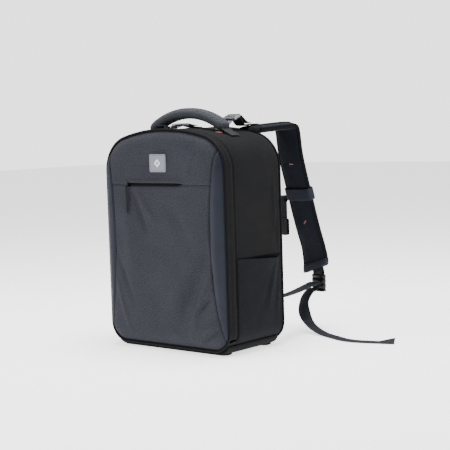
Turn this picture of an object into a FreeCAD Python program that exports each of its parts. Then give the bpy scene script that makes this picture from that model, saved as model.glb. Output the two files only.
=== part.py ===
import FreeCAD, Part
import math
import os
import re
import Sketcher
from FreeCAD import Placement, Rotation, Vector

# Backpack-style carrying case: a zipped clamshell bag with foam wells, a carry handle
# and two padded shoulder straps. Millimetres; X to the right as the front is faced,
# Y from the front to the wearer's back, Z up.
# The origin is on the floor under the middle of the bag.

doc = FreeCAD.newDocument("carrying_case")
sheet = doc.addObject("Spreadsheet::Sheet", "Sizes")

SIZES = {
    # bag body
    "width": 315.0, "height": 440.0, "depth": 165.0, "underside": 9.0,
    "top_corner": 70.0, "bottom_corner": 40.0, "crown": 400.0,
    "shell": 3.0, "liner": 5.0, "gap": 0.2, "fabric": 1.5,
    "sole_top": 22.0, "sill_top": 28.0, "back_thick": 6.5,
    # front lid and main zip
    "band": 20.0, "band_foot": 30.0, "zip_half": 2.1, "dome_base": 2.6,
    "dome_first": 7.5, "dome_second": 13.5, "dome_full": 18.5, "lid_board": 4.0,
    "bead": 2.2, "slider_long": 12.0, "slider_wide": 7.0, "slider_tall": 4.8, "slider_lift": 1.2,
    "pull_long": 32.0, "pull_wide": 5.0, "pull_thick": 2.0,
    # front pocket
    "slot_low": 330.5, "slot_high": 335.5, "slot_left": 93.0, "slot_right": 129.0,
    "puller_long": 58.0, "puller_wide": 8.0, "puller_thick": 2.4, "slider_start": 85.0,
    # badge
    "badge_wide": 42.0, "badge_tall": 35.0, "badge_middle": 374.5, "badge_thick": 2.8, "motif": 16.0,
    # side pockets
    "pocket_front": 57.0, "pocket_back": 70.0, "pocket_low": 52.0, "pocket_high": 186.0, "pocket_bulge": 7.5,
    # foam insert and inner sleeve
    "foam_front": 48.0, "foam_back": 52.0, "foam_edge": 8.6, "foam_split": 244.0, "sleeve_face": 57.0,
    "drone_deep": 80.0, "radio_deep": 60.0, "battery_deep": 55.0, "kit_deep": 70.0,
    # handle
    "grip_reach": 95.0, "grip_end": 441.0, "grip_middle": 471.5, "grip_thick": 20.0, "grip_wide": 32.0,
    "handle_seat": 5.0,
    # shoulder straps
    "strap_root": 75.0, "strap_turn": 8.0, "strap_wide": 62.0, "strap_thick": 16.0,
    "webbing": 25.0, "webbing_thick": 2.0, "binding": 2.6, "keeper_long": 26.0, "keeper_room": 1.2,
    "lock_wide": 33.0, "lock_tall": 38.0, "lock_thick": 5.0, "chest_web": 20.0, "tail_round": 8.0,
}
for row, (alias, number) in enumerate(SIZES.items(), start=1):
    sheet.set("A%d" % row, alias)
    sheet.set("B%d" % row, str(number))
    sheet.setAlias("B%d" % row, alias)
doc.recompute()

nodes = {}


def cells(formula):
    """Point the words of a size formula at the sheet's cells."""
    return re.sub(r"[a-z_]+", lambda word: "Sizes." + word.group(), str(formula))


def value(formula):
    """Work a size formula out to a number."""
    return float(sheet.evalExpression(cells(formula)))


def bind(thing, formulas):
    """Tie properties of a document object to size formulas."""
    for name, formula in formulas.items():
        thing.setExpression(name, cells(formula))


def dimension(sketch, kind, where, formula):
    """Add one driving constraint that reads its number from the sheet."""
    number = sketch.addConstraint(Sketcher.Constraint(kind, *where, value(formula)))
    bind(sketch, {"Constraints[%d]" % number: formula})


# ---- closed loops for sketches ----

def add_chain(sketch, pieces, joint):
    """Add pieces end to end as a closed loop and return the number of the first."""
    first = sketch.GeometryCount
    sketch.addGeometry(pieces, False)
    for step in range(len(pieces)):
        following = first + (step + 1) % len(pieces)
        sketch.addConstraint(Sketcher.Constraint(joint, first + step, 2, following, 1))
    return first


def arc(centre, radius, start, end):
    """An arc of a circle, its angles in degrees."""
    circle = Part.Circle(Vector(centre[0], centre[1], 0), Vector(0, 0, 1), radius)
    return Part.ArcOfCircle(circle, math.radians(start), math.radians(end))


def line(start, end):
    """A straight sketch line between two points."""
    return Part.LineSegment(Vector(start[0], start[1], 0), Vector(end[0], end[1], 0))


def outline(sketch, inset, lift="0"):
    """The bag's front outline drawn inset from its edge, its flat bottom raised by lift."""
    half = value("width / 2 - (%s)" % inset)
    low = value("underside + (%s) + (%s)" % (inset, lift))
    small = value("bottom_corner - (%s)" % inset)
    large = value("top_corner - (%s)" % inset)
    crown = value("crown - (%s)" % inset)
    centre = value("height - crown")
    shoulder = centre + math.sqrt((crown - large) ** 2 - (half - large) ** 2)
    lean = math.degrees(math.atan2(shoulder - centre, half - large))
    first = add_chain(sketch, [
        line((small - half, low), (half - small, low)),
        arc((half - small, low + small), small, -90, 0),
        line((half, low + small), (half, shoulder)),
        arc((half - large, shoulder), large, 0, lean),
        arc((0, centre), crown, lean, 180 - lean),
        arc((large - half, shoulder), large, 180 - lean, 180),
        line((-half, shoulder), (-half, low + small)),
        arc((small - half, low + small), small, 180, 270),
    ], "Tangent")
    bottom, foot, right, top_right, top, top_left, left, foot_left = range(first, first + 8)
    sketch.addConstraint(Sketcher.Constraint("Horizontal", bottom))
    sketch.addConstraint(Sketcher.Constraint("Vertical", right))
    sketch.addConstraint(Sketcher.Constraint("Vertical", left))
    sketch.addConstraint(Sketcher.Constraint("Equal", foot, foot_left))
    sketch.addConstraint(Sketcher.Constraint("Equal", top_right, top_left))
    sketch.addConstraint(Sketcher.Constraint("PointOnObject", top, 3, -2))
    dimension(sketch, "Radius", (foot,), "bottom_corner - (%s)" % inset)
    dimension(sketch, "Radius", (top_right,), "top_corner - (%s)" % inset)
    dimension(sketch, "Radius", (top,), "crown - (%s)" % inset)
    dimension(sketch, "DistanceX", (-1, 1, right, 1), "width / 2 - (%s)" % inset)
    dimension(sketch, "DistanceX", (left, 2, right, 1), "width - 2 * (%s)" % inset)
    dimension(sketch, "DistanceY", (-1, 1, bottom, 1), "underside + (%s) + (%s)" % (inset, lift))
    dimension(sketch, "DistanceY", (-1, 1, top, 3), "height - crown")


def rectangle(sketch, left, right, low, high):
    """A sharp rectangle whose four edges are size formulas."""
    x1, x2, z1, z2 = value(left), value(right), value(low), value(high)
    first = add_chain(sketch, [
        line((x1, z1), (x2, z1)), line((x2, z1), (x2, z2)),
        line((x2, z2), (x1, z2)), line((x1, z2), (x1, z1)),
    ], "Coincident")
    for side in (first, first + 2):
        sketch.addConstraint(Sketcher.Constraint("Horizontal", side))
    for side in (first + 1, first + 3):
        sketch.addConstraint(Sketcher.Constraint("Vertical", side))
    dimension(sketch, "DistanceX", (-1, 1, first, 1), left)
    dimension(sketch, "DistanceX", (-1, 1, first, 2), right)
    dimension(sketch, "DistanceY", (-1, 1, first, 1), low)
    dimension(sketch, "DistanceY", (-1, 1, first + 1, 2), high)


def rounded(sketch, left, right, low, high, radius):
    """A rectangle with four equal round corners."""
    x1, x2, z1, z2, r = [value(item) for item in (left, right, low, high, radius)]
    first = add_chain(sketch, [
        line((x1 + r, z1), (x2 - r, z1)), arc((x2 - r, z1 + r), r, -90, 0),
        line((x2, z1 + r), (x2, z2 - r)), arc((x2 - r, z2 - r), r, 0, 90),
        line((x2 - r, z2), (x1 + r, z2)), arc((x1 + r, z2 - r), r, 90, 180),
        line((x1, z2 - r), (x1, z1 + r)), arc((x1 + r, z1 + r), r, 180, 270),
    ], "Tangent")
    for side in (first, first + 4):
        sketch.addConstraint(Sketcher.Constraint("Horizontal", side))
    for side in (first + 2, first + 6):
        sketch.addConstraint(Sketcher.Constraint("Vertical", side))
    for corner in (first + 3, first + 5, first + 7):
        sketch.addConstraint(Sketcher.Constraint("Equal", first + 1, corner))
    dimension(sketch, "Radius", (first + 1,), radius)
    dimension(sketch, "DistanceX", (-1, 1, first + 6, 1), left)
    dimension(sketch, "DistanceX", (-1, 1, first + 2, 1), right)
    dimension(sketch, "DistanceY", (-1, 1, first, 1), low)
    dimension(sketch, "DistanceY", (-1, 1, first + 4, 1), high)


def polygon(sketch, points):
    """A closed straight-sided shape with fixed corners."""
    pieces = [line(start, end) for start, end in zip(points, points[1:] + points[:1])]
    add_chain(sketch, pieces, "Coincident")


def lens(sketch, side):
    """The region outside the curved seam of a side inset: one shallow arc and three lines."""
    tip, waist, foot, far = (side * 145, 421), (side * 126, 225), (side * 152, 18), side * 185
    seam = Part.Arc(Vector(tip[0], tip[1], 0), Vector(waist[0], waist[1], 0), Vector(foot[0], foot[1], 0))
    pieces = [seam, line(foot, (far, foot[1] - 10)), line((far, foot[1] - 10), (far, tip[1] + 10)),
              line((far, tip[1] + 10), tip)]
    sketch.addGeometry(pieces, False)


def run_beside(points, shift):
    """Lines and tangent arcs that follow a bent route at a sideways distance.

    Each point is (across, up, bend); the bend is the radius on the route itself.
    """
    places = [Vector(point[0], point[1], 0) for point in points]
    heads = [(after - before).normalize() for before, after in zip(places, places[1:])]
    sides = [Vector(-head.y, head.x, 0) for head in heads]
    pieces = []
    here = places[0] + sides[0] * shift
    for number in range(1, len(places) - 1):
        head, side = heads[number - 1], sides[number - 1]
        turn = math.atan2(head.cross(heads[number]).z, head.dot(heads[number]))
        corner = places[number] + (side + sides[number]) * (shift / (1 + side.dot(sides[number])))
        bend = points[number][2] - math.copysign(shift, turn)
        reach = bend * math.tan(abs(turn) / 2)
        entry = corner - head * reach
        leave = corner + heads[number] * reach
        centre = entry + side * math.copysign(bend, turn)
        middle = centre + (corner - centre).normalize() * bend
        pieces.append(Part.LineSegment(here, entry))
        pieces.append(Part.Arc(entry, middle, leave))
        here = leave
    pieces.append(Part.LineSegment(here, places[-1] + sides[-1] * shift))
    return pieces


def strip(sketch, points, thickness, lift="0"):
    """The edge view of a bent strip: two offset runs of one route and two end lines."""
    middle, half = value(lift), value(thickness) / 2
    upper = run_beside(points, middle + half)
    lower = run_beside(points, middle - half)
    ends = [Part.LineSegment(upper[0].StartPoint, lower[0].StartPoint),
            Part.LineSegment(upper[-1].EndPoint, lower[-1].EndPoint)]
    sketch.addGeometry(upper + lower + ends, False)


# ---- solids ----

VIEWS = {"front": ("XZ_Plane", "-"), "plan": ("XY_Plane", ""), "side": ("YZ_Plane", "")}


def sketch_in(body, view, level):
    """A sketch in one of the body's own planes, moved to a level on the third axis."""
    role, sign = VIEWS[view]
    sketch = body.newObject("Sketcher::SketchObject", body.Name + "_sketch")
    plane = [item for item in body.Origin.OriginFeatures if item.Role == role][0]
    sketch.AttachmentSupport = [(plane, "")]
    sketch.MapMode = "FlatFace"
    bind(sketch, {"AttachmentOffset.Base.z": "%s(%s)" % (sign, level)})
    return sketch


def padded(name, view, low, high, *loops):
    """A body whose loops are padded from low to high along the view's axis."""
    body = doc.addObject("PartDesign::Body", name)
    body.Label = name
    sketch = sketch_in(body, view, high if view == "front" else low)
    for draw, sizes in loops:
        draw(sketch, *sizes)
    pad = body.newObject("PartDesign::Pad", name + "_pad")
    pad.Profile = sketch
    bind(pad, {"Length": "(%s) - (%s)" % (high, low)})
    nodes[name] = body
    return body


def pocketed(body, view, low, high, *loops):
    """Cut loops out of a body from low to high along the view's axis."""
    sketch = sketch_in(body, view, low if view == "front" else high)
    for draw, sizes in loops:
        draw(sketch, *sizes)
    cut = body.newObject("PartDesign::Pocket", body.Name + "_cut")
    cut.Profile = sketch
    bind(cut, {"Length": "(%s) - (%s)" % (high, low)})
    return body


def lofted(name, sections):
    """A body lofted through outlines, each given as (inset, lift, y level)."""
    body = doc.addObject("PartDesign::Body", name)
    body.Label = name
    drawn = []
    for inset, lift, level in sections:
        sketch = sketch_in(body, "front", level)
        outline(sketch, inset, lift)
        drawn.append(sketch)
    loft = body.newObject("PartDesign::AdditiveLoft", name + "_loft")
    loft.Profile = drawn[0]
    loft.Sections = drawn[1:]
    loft.Ruled = True
    return body


def combined(kind, name, first, second):
    """A Part boolean of two finished bodies."""
    result = doc.addObject("Part::" + kind, name)
    result.Label = name
    result.Base = first
    result.Tool = second
    nodes[name] = result
    return result


def grouped(name, bodies):
    """Several separate, like solids kept under one name."""
    group = doc.addObject("Part::Compound", name)
    group.Label = name
    group.Links = bodies
    for body in bodies:
        nodes.pop(body.Label, None)
    nodes[name] = group
    return group


def softened(body, radius, chosen):
    """Round the edges of a body's last feature that a test picks out."""
    doc.recompute()
    base = body.Tip
    edges = ["Edge%d" % (number + 1) for number, edge in enumerate(base.Shape.Edges) if chosen(edge)]
    fillet = body.newObject("PartDesign::Fillet", body.Name + "_fillet")
    fillet.Base = (base, edges)
    fillet.Radius = radius
    return body


# ---- bag body ----

def bag_body():
    """The fixed clamshell half: gusset, lining, sole, back and what is sewn to them."""
    gusset = padded("gusset_shell", "front", "-depth / 2 + 2.5", "depth / 2 - back_thick",
                    (outline, ("0",)), (outline, ("shell",)))
    pocketed(gusset, "front", "-depth / 2", "-depth / 2 + band + 4",
             (rectangle, ("-width", "width", "sill_top", "height * 2")))
    padded("gusset_liner", "front", "-depth / 2 + band + 5.5", "depth / 2 - back_thick - 0.5",
           (outline, ("shell + gap",)), (outline, ("shell + gap + liner",)))
    sole = padded("base_sole", "front", "-depth / 2 + 2.5", "depth / 2 - 2.5",
                  (outline, ("-underside",)), (outline, ("0",)))
    pocketed(sole, "front", "-depth", "depth",
             (rectangle, ("-width", "width", "sole_top", "height * 2")))
    padded("back_panel", "front", "depth / 2 - back_thick", "depth / 2", (outline, ("0",)))
    padded("back_board", "front", "depth / 2 - back_thick - 3.6", "depth / 2 - back_thick - 0.6",
           (outline, ("foam_edge + 0.4",)))
    for name, left in (("back_pad_left", "-118"), ("back_pad_right", "18")):
        pad = padded(name, "front", "depth / 2 + gap", "depth / 2 + 13",
                     (rounded, (left, left + " + 100", "150", "385", "22")))
        softened(pad, 5.0, lambda edge: min(v.Point.y for v in edge.Vertexes) > value("depth / 2 + 12"))
    pad = padded("lumbar_pad", "front", "depth / 2 + gap", "depth / 2 + 15",
                 (rounded, ("-118", "118", "52", "138", "24")))
    softened(pad, 5.0, lambda edge: min(v.Point.y for v in edge.Vertexes) > value("depth / 2 + 14"))
    padded("strap_yoke", "front", "depth / 2 + gap", "depth / 2 + 3.2",
           (rounded, ("-100", "100", "395", "420", "8")))
    for name, side in (("side_pocket_left", -1), ("side_pocket_right", 1)):
        near, far = ("width / 2 + gap", "width / 2 + pocket_bulge")
        low, high = (near, far) if side > 0 else ("-(%s)" % far, "-(%s)" % near)
        hollow = (near, "width / 2 + pocket_bulge - fabric")
        inner_low, inner_high = hollow if side > 0 else ("-(%s)" % hollow[1], "-(%s)" % hollow[0])
        pocket = padded(name, "side", low, high,
                        (rounded, ("-pocket_front", "pocket_back", "pocket_low", "pocket_high", "4")))
        pocketed(pocket, "side", inner_low, inner_high,
                 (rectangle, ("-pocket_front + fabric", "pocket_back - fabric",
                              "pocket_low + fabric", "pocket_high + 1")))
    tape = padded("zip_tape_body", "front", "-depth / 2 + band + zip_half + 0.4", "-depth / 2 + band + 3.9",
                  (outline, ("0.3",)), (outline, ("shell - 0.3",)))
    pocketed(tape, "front", "-depth", "0",
             (rectangle, ("-width", "width", "0", "band_foot + 2")))


def piping(name, level):
    """A corded edge that follows the bag's outline as one round bead."""
    body = doc.addObject("PartDesign::Body", name)
    body.Label = name
    path = sketch_in(body, "front", level)
    outline(path, "0.1")
    profile = sketch_in(body, "side", "0")
    across, up = value(level), value("height - 0.1")
    profile.addGeometry(Part.Circle(Vector(across, up, 0), Vector(0, 0, 1), value("bead")), False)
    dimension(profile, "Radius", (0,), "bead")
    dimension(profile, "DistanceX", (-1, 1, 0, 3), level)
    dimension(profile, "DistanceY", (-1, 1, 0, 3), "height - 0.1")
    pipe = body.newObject("PartDesign::AdditivePipe", name + "_pipe")
    pipe.Profile = profile
    pipe.Spine = (path, [])
    nodes[name] = body
    return body


def foam_inside():
    """Two cut foam blocks with their wells, the sleeve behind them and the straps over the drone."""
    wells = {
        "foam_upper": ("0", "foam_split", (
            ("drone_deep", (("-108", "108", "252", "398"),)),
        )),
        "foam_lower": ("foam_split - gap", "height", (
            ("radio_deep", (("-122", "-8", "132", "236"),)),
            ("battery_deep", (("8", "42", "132", "236"), ("49", "83", "132", "236"), ("90", "124", "132", "236"))),
            ("kit_deep", (("-118", "118", "42", "116"),)),
        )),
    }
    for name, (cut_from, cut_to, depths) in wells.items():
        foam = padded(name, "front", "-foam_front", "foam_back", (outline, ("foam_edge",)))
        pocketed(foam, "front", "-foam_front", "foam_back", (rectangle, ("-width", "width", cut_from, cut_to)))
        for deep, boxes in depths:
            loops = [(rectangle, box) for box in boxes]
            pocketed(foam, "front", "-foam_front", "-foam_front + " + deep, *loops)
    sleeve = padded("sleeve_panel", "front", "sleeve_face - fabric", "sleeve_face", (outline, ("foam_edge",)))
    pocketed(sleeve, "front", "0", "depth",
             (rectangle, ("-width", "width", "388", "height * 2")))
    straps = [padded("retainer_%d" % low, "front", "-foam_front - 2.4", "-foam_front - 0.6",
                     (rounded, ("-126", "126", str(low), str(low + 30), "3"))) for low in (280, 342)]
    grouped("retainer_straps", straps)


# ---- front lid ----

def front_lid():
    """The hinged front: domed shell, its two side insets, band, pocket, badge and inner pocket."""
    base, face = "-depth / 2", "-depth / 2 - "
    outer = lofted("dome_outer", (
        ("dome_base", "0", base), ("7", "2", face + "dome_first"),
        ("16", "12", face + "dome_second"), ("32", "28", face + "dome_full")))
    inner = lofted("dome_inner", (
        ("dome_base + shell", "0", base), ("10", "2", face + "dome_first + 2.6"),
        ("19", "12", face + "dome_second + 2.8"), ("35", "28", face + "dome_full + shell")))
    dome = combined("Cut", "dome_shell", outer, inner)
    nodes.pop("dome_shell")
    sides = {}
    for name, side in (("inset_left", -1), ("inset_right", 1)):
        region = padded(name + "_region", "front", "-depth", base, (lens, (side,)))
        nodes.pop(name + "_region")
        sides[name] = region
        combined("Common", name, dome, region)
    without_left = combined("Cut", "dome_without_left", dome, sides["inset_left"])
    nodes.pop("dome_without_left")
    without_both = combined("Cut", "dome_without_both", without_left, sides["inset_right"])
    nodes.pop("dome_without_both")
    slot = padded("pocket_slot", "front", "-depth", "-depth / 2 - 10",
                  (rectangle, ("-slot_left", "slot_right - 6", "slot_low", "slot_high")))
    nodes.pop("pocket_slot")
    combined("Cut", "front_panel", without_both, slot)

    padded("pocket_zip", "front", face + "dome_full + shell + gap", face + "dome_full + shell + 1.3",
           (rectangle, ("-slot_left - 4", "slot_right - 12", "slot_low - 6", "slot_high + 6")))
    padded("badge_plate", "front", face + "dome_full - badge_thick", face + "dome_full - gap",
           (rounded, ("-20", "-20 + badge_wide", "badge_middle - badge_tall / 2",
                      "badge_middle + badge_tall / 2", "3")))
    mark = [(1, value("badge_middle") - value("motif") / 2), (1 + value("motif") / 2, value("badge_middle")),
            (1, value("badge_middle") + value("motif") / 2), (1 - value("motif") / 2, value("badge_middle"))]
    heart = [(1 + (x - 1) * 0.45, 374.5 + (z - 374.5) * 0.45) for x, z in mark]
    padded("badge_emblem", "front", face + "dome_full - badge_thick - 0.8", face + "dome_full - badge_thick - 0.05",
           (polygon, (mark,)), (polygon, (heart,)))

    band = padded("lid_band", "front", "-depth / 2 + 0.1", "-depth / 2 + band",
                  (outline, ("0",)), (outline, ("shell",)))
    pocketed(band, "front", "-depth", "0",
             (rectangle, ("-width", "width", "0", "band_foot")))
    tape = padded("zip_tape_lid", "front", "-depth / 2 + band + 0.1", "-depth / 2 + band + 0.1 + zip_half",
                  (outline, ("0.3",)), (outline, ("shell - 0.3",)))
    pocketed(tape, "front", "-depth", "0",
             (rectangle, ("-width", "width", "0", "band_foot + 2")))
    padded("lid_board", "front", "-depth / 2 + 0.2", "-depth / 2 + lid_board", (outline, ("shell + 1.2",)))
    inner_pocket = padded("lid_mesh_pocket", "front", "-depth / 2 + lid_board + gap", "-depth / 2 + lid_board + 12",
                          (rounded, ("-112", "112", "60", "330", "10")))
    pocketed(inner_pocket, "front", "-depth / 2 + lid_board", "-depth / 2 + lid_board + 12 - fabric",
             (rectangle, ("-112 + fabric", "112 - fabric", "60 + fabric", "340")))


def sliders():
    """Zip sliders and the pulls that hang from them or lie beside them."""
    front = "-depth / 2 - dome_full"
    padded("pocket_slider", "front", front + " - 4.6", front + " - 0.5",
           (rounded, ("-slider_start - 4", "-slider_start + 4", "slot_low - 2.5", "slot_high + 2.5", "1.5")))
    padded("pocket_pull", "front", front + " - 5 - puller_thick", front + " - 5",
           (rounded, ("-slider_start - puller_wide / 2", "-slider_start + puller_wide / 2",
                      "slot_low + 1 - puller_long", "slot_low + 1", "2.5")))
    zip_line = "-depth / 2 + band + zip_half + 0.2"
    low = "height + slider_lift"
    for name, side in (("left", -1), ("right", 1)):
        x = [("%d * (3)" % side), ("%d * (3 + slider_long)" % side)]
        x.sort(key=value)
        padded("main_slider_" + name, "plan", low, low + " + slider_tall",
               (rounded, (x[0], x[1], zip_line + " - slider_wide / 2", zip_line + " + slider_wide / 2", "1.5")))
        x = [("%d * (slider_long)" % side), ("%d * (slider_long + pull_long)" % side)]
        x.sort(key=value)
        padded("main_pull_" + name, "plan", low + " + slider_tall + 0.3", low + " + slider_tall + 0.3 + pull_thick",
               (rounded, (x[0], x[1], zip_line + " - pull_wide / 2", zip_line + " + pull_wide / 2", "1.5")))


# ---- handle and load lifters ----

def handle():
    """The padded carry grip arched over the top seam and the webbing tabs it is sewn to."""
    reach, low, high = value("grip_reach"), value("grip_end"), value("grip_middle")
    radius = (reach ** 2 + (high - low) ** 2) / (2 * (high - low))
    centre = (0, high - radius)
    lean = math.degrees(math.asin(reach / radius))
    half = value("grip_thick / 2")

    def arch(sketch):
        """Two concentric arcs closed by radial ends."""
        over = arc(centre, radius + half, 90 - lean, 90 + lean)
        under = arc(centre, radius - half, 90 - lean, 90 + lean)
        ends = [Part.LineSegment(over.StartPoint, under.StartPoint), Part.LineSegment(over.EndPoint, under.EndPoint)]
        sketch.addGeometry([over, under] + ends, False)
        dimension(sketch, "Radius", (0,), str(radius) + " + grip_thick / 2")
        dimension(sketch, "Radius", (1,), str(radius) + " - grip_thick / 2")

    grip = padded("handle_grip", "front", "-handle_seat - grip_wide / 2", "-handle_seat + grip_wide / 2", (arch, ()))
    softened(grip, 8.0, lambda edge: edge.Length > 150)
    tabs = []
    for name, side in (("left", -1), ("right", 1)):
        route = [(side * 97.5, 431.6, 0), (side * 107, 430.4, 60), (side * 124, 426.2, 0)]
        tabs.append(padded("handle_tab_" + name, "front", "-handle_seat - 13.5", "-handle_seat + 13.5",
                           (strip, (route, "2"))))
    grouped("handle_tabs", tabs)


def load_lifters():
    """Light webbing from the top seam, a ladder lock each side, dark webbing to the strap root.
    The right lock is pulled up by its strap, and the left one lies almost flat."""
    sides = {
        "left": ("-70", (35.5, 444.5, 0), (47, 446.0), 4, (58.5, 448.6, 0), (67, 448, 25)),
        "right": ("70", (37, 454.5, 0), (47, 458.6), 22, (58.5, 462.5, 0), (67, 455, 25)),
    }
    anchors, locks, straps = [], [], []
    for name, (middle, anchor_end, lock_at, lean, strap_start, strap_bend) in sides.items():
        edges = (middle + " - webbing / 2", middle + " + webbing / 2")
        anchors.append(padded("lifter_anchor_" + name, "side", *edges, (strip, ([(13, 438.4, 0), anchor_end], "2"))))
        route = [strap_start, strap_bend, (78, 445, 25), (84.5, 443, 0)]
        straps.append(padded("lifter_strap_" + name, "side", *edges, (strip, (route, "2"))))
        lock = padded("lifter_lock_" + name, "plan", "0", "4.6",
                      (rounded, ("-lock_wide / 2", "lock_wide / 2", "-10.5", "10.5", "3")),
                      (rectangle, ("-13", "13", "-7.2", "-1.8")), (rectangle, ("-13", "13", "1.8", "7.2")))
        lock.Placement = Placement(Vector(value(middle), *lock_at), Rotation(Vector(1, 0, 0), lean))
        locks.append(lock)
    grouped("lifter_anchors", anchors)
    grouped("lifter_straps", straps)
    grouped("lifter_locks", locks)


# ---- shoulder straps ----

# Each route is (distance behind the back panel, height, bend), from the root to the end
# of the pad. The right strap stands out over a sharp fold; the left one droops.
STRAP_ROUTES = {
    "right": [(12, 433, 0), (60, 436, 60), (120, 438, 14), (126, 385, 60), (178, 212, 100),
              (199, 160, 60), (198, 140, 0)],
    "left": [(12, 433, 0), (46, 431, 60), (84, 392, 60), (122, 300, 150), (168, 195, 150),
             (180, 158, 60), (180, 140, 0)],
}
# Where the lower webbing is sewn to the pack, the heading it takes (degrees about Z) and its length.
LOWER_WEBBING = {"right": (146, 97, 88, 13.0, 180), "left": (-146, 97, 88, -15.5, 160)}


def partway(start, end, share):
    """A route point part of the way along one straight run."""
    return (start[0] + (end[0] - start[0]) * share, start[1] + (end[1] - start[1]) * share, 0)


def shoulder_strap(name, side):
    """One padded strap in its own frame: X across it, Y away from the pack, Z up."""
    route = STRAP_ROUTES[name]
    end, drop = route[-1][0], route[-1][1]
    place = Placement(Vector(side * value("strap_root"), value("depth / 2"), 0),
                      Rotation(Vector(0, 0, 1), -side * value("strap_turn")))

    def here(body):
        body.Placement = place
        return body

    here(padded("strap_pad_" + name, "side", "-strap_wide / 2", "strap_wide / 2", (strip, (route, "strap_thick"))))
    edges = []
    for edge, low, high in (("a", "strap_wide / 2 + 0.1", "strap_wide / 2 + binding"),
                            ("b", "-strap_wide / 2 - binding", "-strap_wide / 2 - 0.1")):
        edges.append(here(padded("strap_edge_%s_%s" % (name, edge), "side", low, high,
                                 (strip, (route, "strap_thick + 1")))))
    grouped("strap_binding_" + name, edges)
    rail = [partway(route[0], route[1], 0.2)] + route[1:-1] + [partway(route[-2], route[-1], 0.7)]
    here(padded("strap_rail_" + name, "side", "-webbing / 2", "webbing / 2",
                (strip, (rail, "webbing_thick", "strap_thick / 2 + webbing_thick / 2 + 0.15"))))
    patch = [(side * x, drop - fall) for x, fall in
             ((-29, 0.4), (29, 0.4), (27, 8), (24, 21), (-8, 21), (-29, 26))]
    here(padded("strap_end_" + name, "front", "%g - 3" % end, "%g + 3" % end, (polygon, (patch,))))
    top = drop - 22
    middle = "%g" % (side * 8)
    slots = [(rectangle, (middle + " - 13", middle + " + 13", "%g - %g" % (top, low), "%g - %g" % (top, low - 6)))
             for low in (9.5, 20.5, 31.5)]
    here(padded("ladder_lock_" + name, "front", "%g - lock_thick / 2" % end, "%g + lock_thick / 2" % end,
                (rounded, (middle + " - lock_wide / 2", middle + " + lock_wide / 2",
                           "%g - lock_tall" % top, str(top), "3")), *slots))

    x, y, z, heading, length = LOWER_WEBBING[name]
    webbing = padded("lower_webbing_" + name, "side", "-webbing / 2", "webbing / 2",
                     (strip, ([(0, z, 0), (length * 0.5, z + 4, 400), (length, z + 13, 0)], "webbing_thick")))
    webbing.Placement = Placement(Vector(x, y, 0), Rotation(Vector(0, 0, 1), heading))

    # the keeper is a flat tube round pad and rail; the chest strap hangs from its inner side
    low, high = 282, 308
    run = route[3:5]
    lean = (run[1][0] - run[0][0]) / (run[0][1] - run[1][1])
    at = run[0][0] + (run[0][1] - 295) * lean
    tilt = math.degrees(math.atan(lean))
    keeper = padded("keeper_" + name, "plan", "-keeper_long / 2", "keeper_long / 2",
                    (rounded, ("-strap_wide / 2 - binding - keeper_room - fabric",
                               "strap_wide / 2 + binding + keeper_room + fabric",
                               "-strap_thick / 2 - keeper_room - 0.5 - fabric",
                               "strap_thick / 2 + webbing_thick + keeper_room + fabric", "3")),
                    (rounded, ("-strap_wide / 2 - binding - keeper_room", "strap_wide / 2 + binding + keeper_room",
                               "-strap_thick / 2 - keeper_room - 0.5",
                               "strap_thick / 2 + webbing_thick + keeper_room", "1.5")))
    keeper.Placement = place.multiply(Placement(Vector(0, at, 295), Rotation(Vector(1, 0, 0), tilt)))
    across = "%d * (strap_wide / 2 + binding + keeper_room + fabric + 11.4)" % -side
    hang = high - 20
    here(padded("chest_webbing_" + name, "front", "%g - 0.8" % (at - 1), "%g + 0.8" % (at - 1),
                (rounded, (across + " - chest_web / 2", across + " + chest_web / 2",
                           str(hang - 48), str(hang), "0.8"))))
    here(padded("chest_buckle_" + name, "front", "%g - 3.6" % (at - 1), "%g + 3.6" % (at - 1),
                (rounded, (across + " - 12", across + " + 12", str(hang - 84), str(hang - 48.4), "4"))))


def tube(name, points, width):
    """A free webbing tail as a round tube: straight runs joined by tangent arcs."""
    places = [Vector(*point) for point in points]
    runs = [after - before for before, after in zip(places, places[1:])]
    here, edges, radii = places[0], [], []
    for number in range(1, len(places) - 1):
        head, following = Vector(runs[number - 1]).normalize(), Vector(runs[number]).normalize()
        turn = head.getAngle(following)
        shorter = min(runs[number - 1].Length, runs[number].Length)
        radius = 0.45 * shorter / math.tan(turn / 2)
        reach = 0.45 * shorter
        entry = places[number] - head * reach
        leave = places[number] + following * reach
        inward = (following - head).normalize()
        centre = places[number] + inward * math.hypot(radius, reach)
        middle = centre - inward * radius
        edges.append(Part.LineSegment(here, entry).toShape())
        edges.append(Part.Arc(entry, middle, leave).toShape())
        radii.append(round(radius, 1))
        here = leave
    edges.append(Part.LineSegment(here, places[-1]).toShape())
    path = Part.Wire(edges)
    circle = Part.Circle(places[0], runs[0], width / 2)
    shape = path.makePipeShell([Part.Wire(circle.toShape())], True, False)
    feature = doc.addObject("Part::Feature", name)
    feature.Label = name
    feature.Shape = shape
    nodes[name] = feature
    section = math.pi * width ** 2 / 4
    print(name, "arc radii", radii, "length", round(path.Length, 1),
          "volume ratio", round(shape.Volume / (section * path.Length), 4))


TAIL_ROUTES = {
    "right": [(101, 268, 88), (99, 246, 78), (101, 228, 52), (120, 220, 20), (160, 211, 5), (207, 193, 4.2),
              (250, 174, 4.2), (299, 183, 4.2), (345, 202, 4.2)],
    "left": [(-98, 252, 88), (-94, 240, 70), (-92, 240, 42), (-86, 228, 14), (-64, 206, 4.4), (-30, 190, 4.2),
             (8, 196, 4.2), (40, 214, 4.2)],
}


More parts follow.
